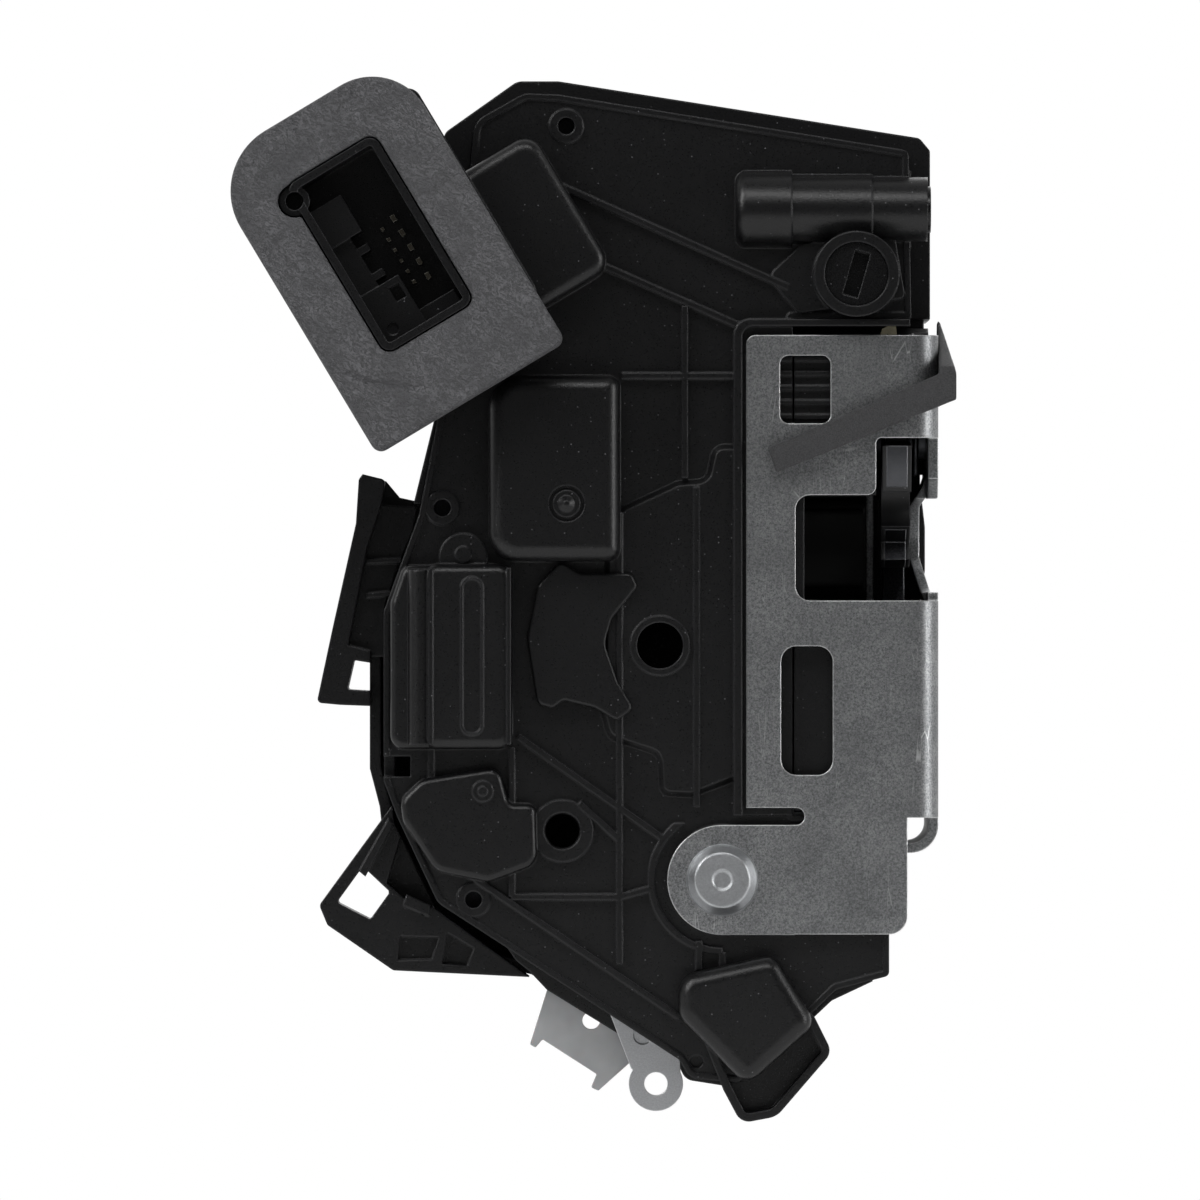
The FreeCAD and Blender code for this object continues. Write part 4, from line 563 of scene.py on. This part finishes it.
def scatter_tree():
    """The same small piece at every point of a mesh."""
    tree, given, result = node_group("pieces_at_points", [
        ("Piece", "NodeSocketObject", None), ("Size", "NodeSocketFloat", 1.0),
        ("Finish", "NodeSocketMaterial", None)])
    shape = add_node(tree, "GeometryNodeObjectInfo", None, {"Object": given.outputs["Piece"]})
    laid = add_node(tree, "GeometryNodeInstanceOnPoints", None, {
        "Points": given.outputs["Geometry"], "Instance": shape.outputs["Geometry"],
        "Scale": given.outputs["Size"]})
    real = add_node(tree, "GeometryNodeRealizeInstances", None, {"Geometry": laid.outputs[0]})
    dressed = add_node(tree, "GeometryNodeSetMaterial", None, {
        "Geometry": real.outputs[0], "Material": given.outputs["Finish"]})
    tree.links.new(dressed.outputs[0], result.inputs[0])
    return tree


def run_tree(name, tree, values, points=()):
    """Plain mesh that a geometry tree makes from points and values by input name."""
    mesh = bpy.data.meshes.new(name)
    mesh.from_pydata([tuple(point) for point in points], [], [])
    made = bpy.data.objects.new(name, mesh)
    bpy.context.scene.collection.objects.link(made)
    change = made.modifiers.new("made", "NODES")
    change.node_group = tree
    sockets = {item.name: item.identifier for item in tree.interface.items_tree
               if item.item_type == "SOCKET" and item.in_out == "INPUT"}
    for label, value in values.items():
        change[sockets[label]] = value
    return settle(made)


def make_bore_threads(looks):
    """Threads of the panel boss and of both fixing bushes."""
    tree = thread_tree()
    pitch = looks.thread_pitch * MM
    for name, node, body_slot, place, turn, length in (
            ("panel_boss_thread", "front_shell", "black_nylon", (-67.8, -22.6, -51.0),
             (math.radians(-90), 0.0, 0.0), 12.0),
            ("upper_bush_thread", "fixing_nuts", "zinc_plated_steel", (-12.2, 16.0, 31.6),
             (0.0, math.radians(90), 0.0), 10.2),
            ("lower_bush_thread", "fixing_nuts", "zinc_plated_steel", (-12.2, -6.0, -39.0),
             (0.0, math.radians(90), 0.0), 10.2)):
        thread = run_tree(name, tree, {
            "Turns": length * MM / pitch, "Radius": THREAD_R * MM, "Length": length * MM,
            "Flank": THREAD_FLANK * MM, "Place": [c * MM for c in place], "Turn": turn})
        finish_piece(thread, body_of_node(node), body_slot)


def make_screw_drives(looks):
    """Six-lobed forms in the round recesses of the four screw heads.

    They rise out of the recess, where a real drive goes in: a known fault.
    """
    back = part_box("housing_screws")[1].y
    turns = [math.tau * step / DRIVE_STEPS for step in range(DRIVE_STEPS)]
    work = bmesh.new()
    rings = []
    for depth, share in ((0.0, 1.0), (DRIVE_RISE, 0.92)):
        ring = []
        for turn in turns:
            radius = looks.drive_size / 2 * (1 + 0.13 * math.cos(DRIVE_LOBES * turn)) * share * MM
            ring.append(work.verts.new((radius * math.cos(turn), depth * MM, radius * math.sin(turn))))
        rings.append(ring)
    rim = DRIVE_RIM * MM
    outer = [work.verts.new((rim * math.cos(turn), 0.0, rim * math.sin(turn))) for turn in turns]
    for k in range(DRIVE_STEPS):
        nxt = (k + 1) % DRIVE_STEPS
        work.faces.new((outer[k], outer[nxt], rings[0][nxt], rings[0][k]))
        work.faces.new((rings[0][k], rings[0][nxt], rings[1][nxt], rings[1][k]))
    work.faces.new(rings[1])
    bmesh.ops.recalc_face_normals(work, faces=work.faces)
    mesh = bpy.data.meshes.new("drive_shape")
    work.to_mesh(mesh)
    work.free()
    mesh.flip_normals()
    shape = bpy.data.objects.new("drive_shape", mesh)
    places = [(x * MM, back - DRIVE_FOOT * MM, z * MM) for x, z in SCREW_PLACES]
    drives = run_tree("housing_screw_drives", scatter_tree(), {"Piece": shape, "Size": 1.0}, places)
    bpy.data.objects.remove(shape)
    finish_piece(drives, body_of_node("housing_screws"), "screw_steel")


def make_film_tab():
    """Corner of a yellowish film that peeps out above the latch plate."""
    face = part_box("latch_plate")[0].y
    outline = [(-10.6, 38.2), (-10.2, 39.4), (-8.9, 40.1), (-7.7, 39.9), (-7.5, 38.1)]
    work = bmesh.new()
    fronts = [work.verts.new((x * MM, face + 0.55 * MM, z * MM)) for x, z in outline]
    backs = [work.verts.new((x * MM, face + 0.75 * MM, z * MM)) for x, z in outline]
    work.faces.new(fronts)
    work.faces.new(list(reversed(backs)))
    for k in range(len(outline)):
        nxt = (k + 1) % len(outline)
        work.faces.new((fronts[k], backs[k], backs[nxt], fronts[nxt]))
    bmesh.ops.recalc_face_normals(work, faces=work.faces)
    mesh = bpy.data.meshes.new("film_tab")
    work.to_mesh(mesh)
    work.free()
    tab = bpy.data.objects.new("film_tab", mesh)
    bpy.context.scene.collection.objects.link(tab)
    mesh.materials.append(film_tab_finish())
    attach(tab, body_of_node("latch_plate"))


def soft_box(name, size, at, power, aim=(-0.061, -0.01, -0.009)):
    """Rectangular studio lamp turned towards the object."""
    lamp = bpy.data.lights.new(name, "AREA")
    lamp.shape = "RECTANGLE"
    lamp.size, lamp.size_y = size
    lamp.energy = power
    made = bpy.data.objects.new(name, lamp)
    made.location = at
    made.rotation_euler = (Vector(aim) - Vector(at)).to_track_quat("-Z", "Y").to_euler()
    bpy.context.scene.collection.objects.link(made)


def set_stage(stage):
    """Camera at the photo's angle, soft lamps, white backdrop and pale floor."""
    scene = bpy.context.scene
    scene.view_settings.view_transform = "Standard"
    camera = bpy.data.cameras.new("photo_camera")
    camera.sensor_width = 36.0
    camera.lens = camera.sensor_width * stage.camera_distance / stage.frame_width
    camera.clip_end = 50.0
    made = bpy.data.objects.new("photo_camera", camera)
    made.location = (stage.aim_x, -stage.camera_distance - 0.024, stage.aim_z)
    made.rotation_euler = (math.radians(90), 0.0, 0.0)
    scene.collection.objects.link(made)
    scene.camera = made
    soft_box("left_front_box", (0.8, 1.3), (-1.5, -1.0, 1.05), stage.left_power)
    soft_box("right_strip", (0.35, 1.5), (1.6, -0.55, 0.2), stage.right_power)
    soft_box("top_box", (1.3, 0.5), (-0.1, -1.2, 1.25), stage.top_power)
    soft_box("low_fill", (1.2, 0.6), (-0.6, -1.2, -1.1), stage.low_power)
    soft_box("back_box", (1.6, 1.0), (0.2, 1.9, 0.9), stage.back_power)
    make_world(stage)
    make_floor(stage)


def make_world(stage):
    """White room for the camera, dimmer for what the object mirrors and is lit by."""
    world = bpy.data.worlds.new("white_studio")
    bpy.context.scene.world = world
    world.use_nodes = True
    tree = world.node_tree
    back = tree.nodes["Background"]
    ray = add_node(tree, "ShaderNodeLightPath")
    where = add_node(tree, "ShaderNodeTexCoord").outputs["Generated"]
    parts = add_node(tree, "ShaderNodeSeparateXYZ", None, {"Vector": where})
    around = spread(tree, parts.outputs["Y"], -0.45, 0.55, stage.front_glow, stage.side_glow)
    seen = add_node(tree, "ShaderNodeMath", {"operation": "MAXIMUM"}, {
        0: ray.outputs["Is Camera Ray"], 1: ray.outputs["Is Transmission Ray"]})
    gloss = add_node(tree, "ShaderNodeMix", {"data_type": "FLOAT"}, {
        0: ray.outputs["Is Glossy Ray"], 2: stage.world_glow, 3: around})
    power = add_node(tree, "ShaderNodeMix", {"data_type": "FLOAT"}, {
        0: seen.outputs[0], 2: gloss.outputs[0], 3: 1.0})
    back.inputs["Color"].default_value = (1.0, 1.0, 1.0, 1.0)
    tree.links.new(power.outputs[0], back.inputs["Strength"])


def make_floor(stage):
    """Round pale floor below the object, fading into the white towards its rim."""
    work = bmesh.new()
    bmesh.ops.create_circle(work, cap_ends=True, segments=96, radius=stage.floor_radius)
    bmesh.ops.translate(work, verts=work.verts, vec=(-0.061, 0.0, stage.floor_height))
    mesh = bpy.data.meshes.new("floor")
    work.to_mesh(mesh)
    work.free()
    floor = bpy.data.objects.new("floor", mesh)
    bpy.context.scene.collection.objects.link(floor)
    material, tree, shader = new_finish("matt_white_board", Roughness=0.9)
    shader.inputs["Base Color"].default_value = hex_colour("#f4f4f4")
    ray = add_node(tree, "ShaderNodeLightPath")
    where = add_node(tree, "ShaderNodeTexCoord").outputs["Object"]
    reach = add_node(tree, "ShaderNodeVectorMath", {"operation": "LENGTH"}, {0: where})
    rim = spread(tree, reach.outputs["Value"], 0.3 * stage.floor_radius,
                 0.85 * stage.floor_radius, 0.0, 1.0)
    share = add_node(tree, "ShaderNodeMath", {"operation": "MULTIPLY"}, {
        0: rim, 1: ray.outputs["Is Camera Ray"]})
    glow = add_node(tree, "ShaderNodeEmission", None, {"Strength": 1.0})
    both = add_node(tree, "ShaderNodeMixShader", None, {0: share.outputs[0], 2: glow.outputs[0]})
    tree.links.new(shader.outputs[0], both.inputs[1])
    tree.links.new(both.outputs[0], tree.nodes["Material Output"].inputs["Surface"])
    mesh.materials.append(material)


class DoorLockLooks(bpy.types.PropertyGroup):
    """Sizes and colours of the lock's finishes and soft parts."""

    nylon_dark: bpy.props.StringProperty(
        name="Nylon, dark", description="Darker tone of the black housing, sRGB hex", default="#060607")
    nylon_light: bpy.props.StringProperty(
        name="Nylon, light", description="Lighter tone of the black housing, sRGB hex", default="#0e0e0f")
    nylon_grain: bpy.props.FloatProperty(
        name="Nylon grain", description="Size of the spark-eroded grain, in millimetres", default=0.32,
        min=0.05, max=3.0)
    edge_round: bpy.props.FloatProperty(
        name="Edge rounding", description="Rounding of the housing's edges, in millimetres", default=0.5,
        min=0.0, max=2.0)
    zinc_dark: bpy.props.StringProperty(
        name="Zinc, dark", description="Dark specks of the latch plate, sRGB hex", default="#5c5e60")
    zinc_light: bpy.props.StringProperty(
        name="Zinc, light", description="Light specks of the latch plate, sRGB hex", default="#c6c7c8")
    zinc_grain: bpy.props.FloatProperty(
        name="Zinc grain", description="Size of the zinc crystals, in millimetres", default=0.34,
        min=0.05, max=3.0)
    # The dark foam tone is also painted into the folds as painted shade
    foam_dark: bpy.props.StringProperty(
        name="Foam, dark", description="Colour in the foam's folds, sRGB hex", default="#3c3c3e")
    foam_light: bpy.props.StringProperty(
        name="Foam, light", description="Colour on the foam's crests, sRGB hex", default="#68686b")
    crease_size: bpy.props.FloatProperty(
        name="Crease size", description="Width of one crease of the foam's skin, in millimetres",
        default=0.8, min=0.1, max=10.0)
    pad_crown: bpy.props.FloatProperty(
        name="Pad crown", description="How far the pad's face rises from its rim, in millimetres",
        default=0.9, min=0.0, max=4.0)
    thread_pitch: bpy.props.FloatProperty(
        name="Thread pitch", description="Pitch of the M8 threads, in millimetres", default=1.25,
        min=0.5, max=3.0)
    drive_size: bpy.props.FloatProperty(
        name="Drive size", description="Width of the screws' six-lobed drive, in millimetres", default=2.3,
        min=0.5, max=5.0)


class DoorLockStage(bpy.types.PropertyGroup):
    """Camera, lamps and floor."""

    frame_width: bpy.props.FloatProperty(
        name="Frame width", description="Width that the camera sees at the flange", default=0.216,
        unit="LENGTH")
    camera_distance: bpy.props.FloatProperty(
        name="Camera distance", description="From the flange to the camera", default=2.5, unit="LENGTH")
    aim_x: bpy.props.FloatProperty(
        name="Aim across", description="Middle of the picture, across", default=-0.061, unit="LENGTH")
    aim_z: bpy.props.FloatProperty(
        name="Aim up", description="Middle of the picture, up", default=-0.0094, unit="LENGTH")
    left_power: bpy.props.FloatProperty(
        name="Left lamp", description="Power of the large box at the front left", default=20.0, unit="POWER")
    right_power: bpy.props.FloatProperty(
        name="Right lamp", description="Power of the strip on the right", default=11.0, unit="POWER")
    top_power: bpy.props.FloatProperty(
        name="Top lamp", description="Power of the box above", default=9.0, unit="POWER")
    low_power: bpy.props.FloatProperty(
        name="Low lamp", description="Power of the fill from below", default=0.4, unit="POWER")
    back_power: bpy.props.FloatProperty(
        name="Back lamp", description="Power of the box behind", default=9.0, unit="POWER")
    front_glow: bpy.props.FloatProperty(
        name="Front glow", description="What gloss mirrors from the camera's side", default=0.08)
    side_glow: bpy.props.FloatProperty(
        name="Side glow", description="What gloss mirrors from the sides and behind", default=0.7)
    world_glow: bpy.props.FloatProperty(
        name="Room glow", description="Even light from all round", default=0.35)
    floor_radius: bpy.props.FloatProperty(
        name="Floor radius", description="Radius of the floor", default=0.62, unit="LENGTH")
    floor_height: bpy.props.FloatProperty(
        name="Floor height", description="Height of the floor", default=-0.150, unit="LENGTH")


class DOORLOCK_OT_stage(bpy.types.Operator):
    """Set up the camera, lamps, backdrop and floor"""
    bl_idname = "doorlock.stage"
    bl_label = "Studio"

    def execute(self, context):
        set_stage(context.scene.door_lock_stage)
        return {"FINISHED"}


class DOORLOCK_OT_finishes(bpy.types.Operator):
    """Make the finishes of all parts"""
    bl_idname = "doorlock.finishes"
    bl_label = "Finishes"

    def execute(self, context):
        make_finishes(context.scene.door_lock_looks)
        return {"FINISHED"}


class DOORLOCK_OT_housing(bpy.types.Operator):
    """Dress the two halves of the housing and what is clipped to them"""
    bl_idname = "doorlock.housing"
    bl_label = "Housing"

    def execute(self, context):
        for node in ("front_shell", "rear_cover", "lower_hood", "clip_bracket", "cable_bracket",
                     "kidney_cover", "key_dial", "child_lock_spindle", "plug_socket",
                     "socket_terminals", "housing_screws"):
            dress(node)
        return {"FINISHED"}


class DOORLOCK_OT_latch(bpy.types.Operator):
    """Dress the latch plate, the claw, the pawl and their case"""
    bl_idname = "doorlock.latch"
    bl_label = "Latch"

    def execute(self, context):
        for node in ("latch_plate", "bridge_plate", "claw", "claw_sleeve", "claw_pin", "claw_spring",
                     "pawl", "pawl_pin", "pawl_spring", "fixing_nuts", "claw_case", "pawl_case",
                     "striker_guide", "striker_buffer", "latch_switch"):
            dress(node)
        return {"FINISHED"}


class DOORLOCK_OT_levers(bpy.types.Operator):
    """Dress the levers and the rivet they turn on"""
    bl_idname = "doorlock.levers"
    bl_label = "Levers"

    def execute(self, context):
        for node in ("release_lever", "inside_lever", "lever_spring", "tongue_rivet"):
            dress(node)
        return {"FINISHED"}


class DOORLOCK_OT_drive(bpy.types.Operator):
    """Dress the lock motor, its gears and the conductor carrier"""
    bl_idname = "doorlock.drive"
    bl_label = "Drive"

    def execute(self, context):
        for node in ("lock_motor", "motor_cradle", "worm", "worm_wheel", "wheel_axle", "lead_frame"):
            dress(node)
        return {"FINISHED"}


class DOORLOCK_OT_foam_pad(bpy.types.Operator):
    """Make the foam pad round the plug socket"""
    bl_idname = "doorlock.foam_pad"
    bl_label = "Foam pad"

    def execute(self, context):
        make_foam_pad(context.scene.door_lock_looks)
        return {"FINISHED"}


class DOORLOCK_OT_foam_strip(bpy.types.Operator):
    """Make the sealing strip over the latch plate"""
    bl_idname = "doorlock.foam_strip"
    bl_label = "Foam strip"

    def execute(self, context):
        make_foam_strip()
        return {"FINISHED"}


class DOORLOCK_OT_threads(bpy.types.Operator):
    """Make the threads of the panel boss and the fixing bushes"""
    bl_idname = "doorlock.threads"
    bl_label = "Threads"

    def execute(self, context):
        make_bore_threads(context.scene.door_lock_looks)
        return {"FINISHED"}


class DOORLOCK_OT_screw_drives(bpy.types.Operator):
    """Make the drives in the heads of the housing screws"""
    bl_idname = "doorlock.screw_drives"
    bl_label = "Screw drives"

    def execute(self, context):
        make_screw_drives(context.scene.door_lock_looks)
        return {"FINISHED"}


class DOORLOCK_OT_film_tab(bpy.types.Operator):
    """Make the corner of film above the latch plate"""
    bl_idname = "doorlock.film_tab"
    bl_label = "Film tab"

    def execute(self, context):
        make_film_tab()
        return {"FINISHED"}


STEPS = (DOORLOCK_OT_stage, DOORLOCK_OT_finishes, DOORLOCK_OT_housing, DOORLOCK_OT_latch,
         DOORLOCK_OT_levers, DOORLOCK_OT_drive, DOORLOCK_OT_foam_pad, DOORLOCK_OT_foam_strip,
         DOORLOCK_OT_threads, DOORLOCK_OT_screw_drives, DOORLOCK_OT_film_tab)


class DOORLOCK_PT_panel(bpy.types.Panel):
    """Lists the steps that dress the lock"""
    bl_label = "Door lock"
    bl_idname = "DOORLOCK_PT_panel"
    bl_space_type = "VIEW_3D"
    bl_region_type = "UI"
    bl_category = "Door lock"

    def draw(self, context):
        column = self.layout.column()
        for step in STEPS:
            column.operator(step.bl_idname)


CLASSES = (DoorLockLooks, DoorLockStage, *STEPS, DOORLOCK_PT_panel)


def register():
    for item in CLASSES:
        bpy.utils.register_class(item)
    bpy.types.Scene.door_lock_looks = bpy.props.PointerProperty(type=DoorLockLooks)
    bpy.types.Scene.door_lock_stage = bpy.props.PointerProperty(type=DoorLockStage)


def unregister():
    del bpy.types.Scene.door_lock_stage
    del bpy.types.Scene.door_lock_looks
    for item in reversed(CLASSES):
        bpy.utils.unregister_class(item)


def main():
    register()
    for step in STEPS:
        group, name = step.bl_idname.split(".")
        getattr(getattr(bpy.ops, group), name)()


if __name__ == "__main__":
    main()
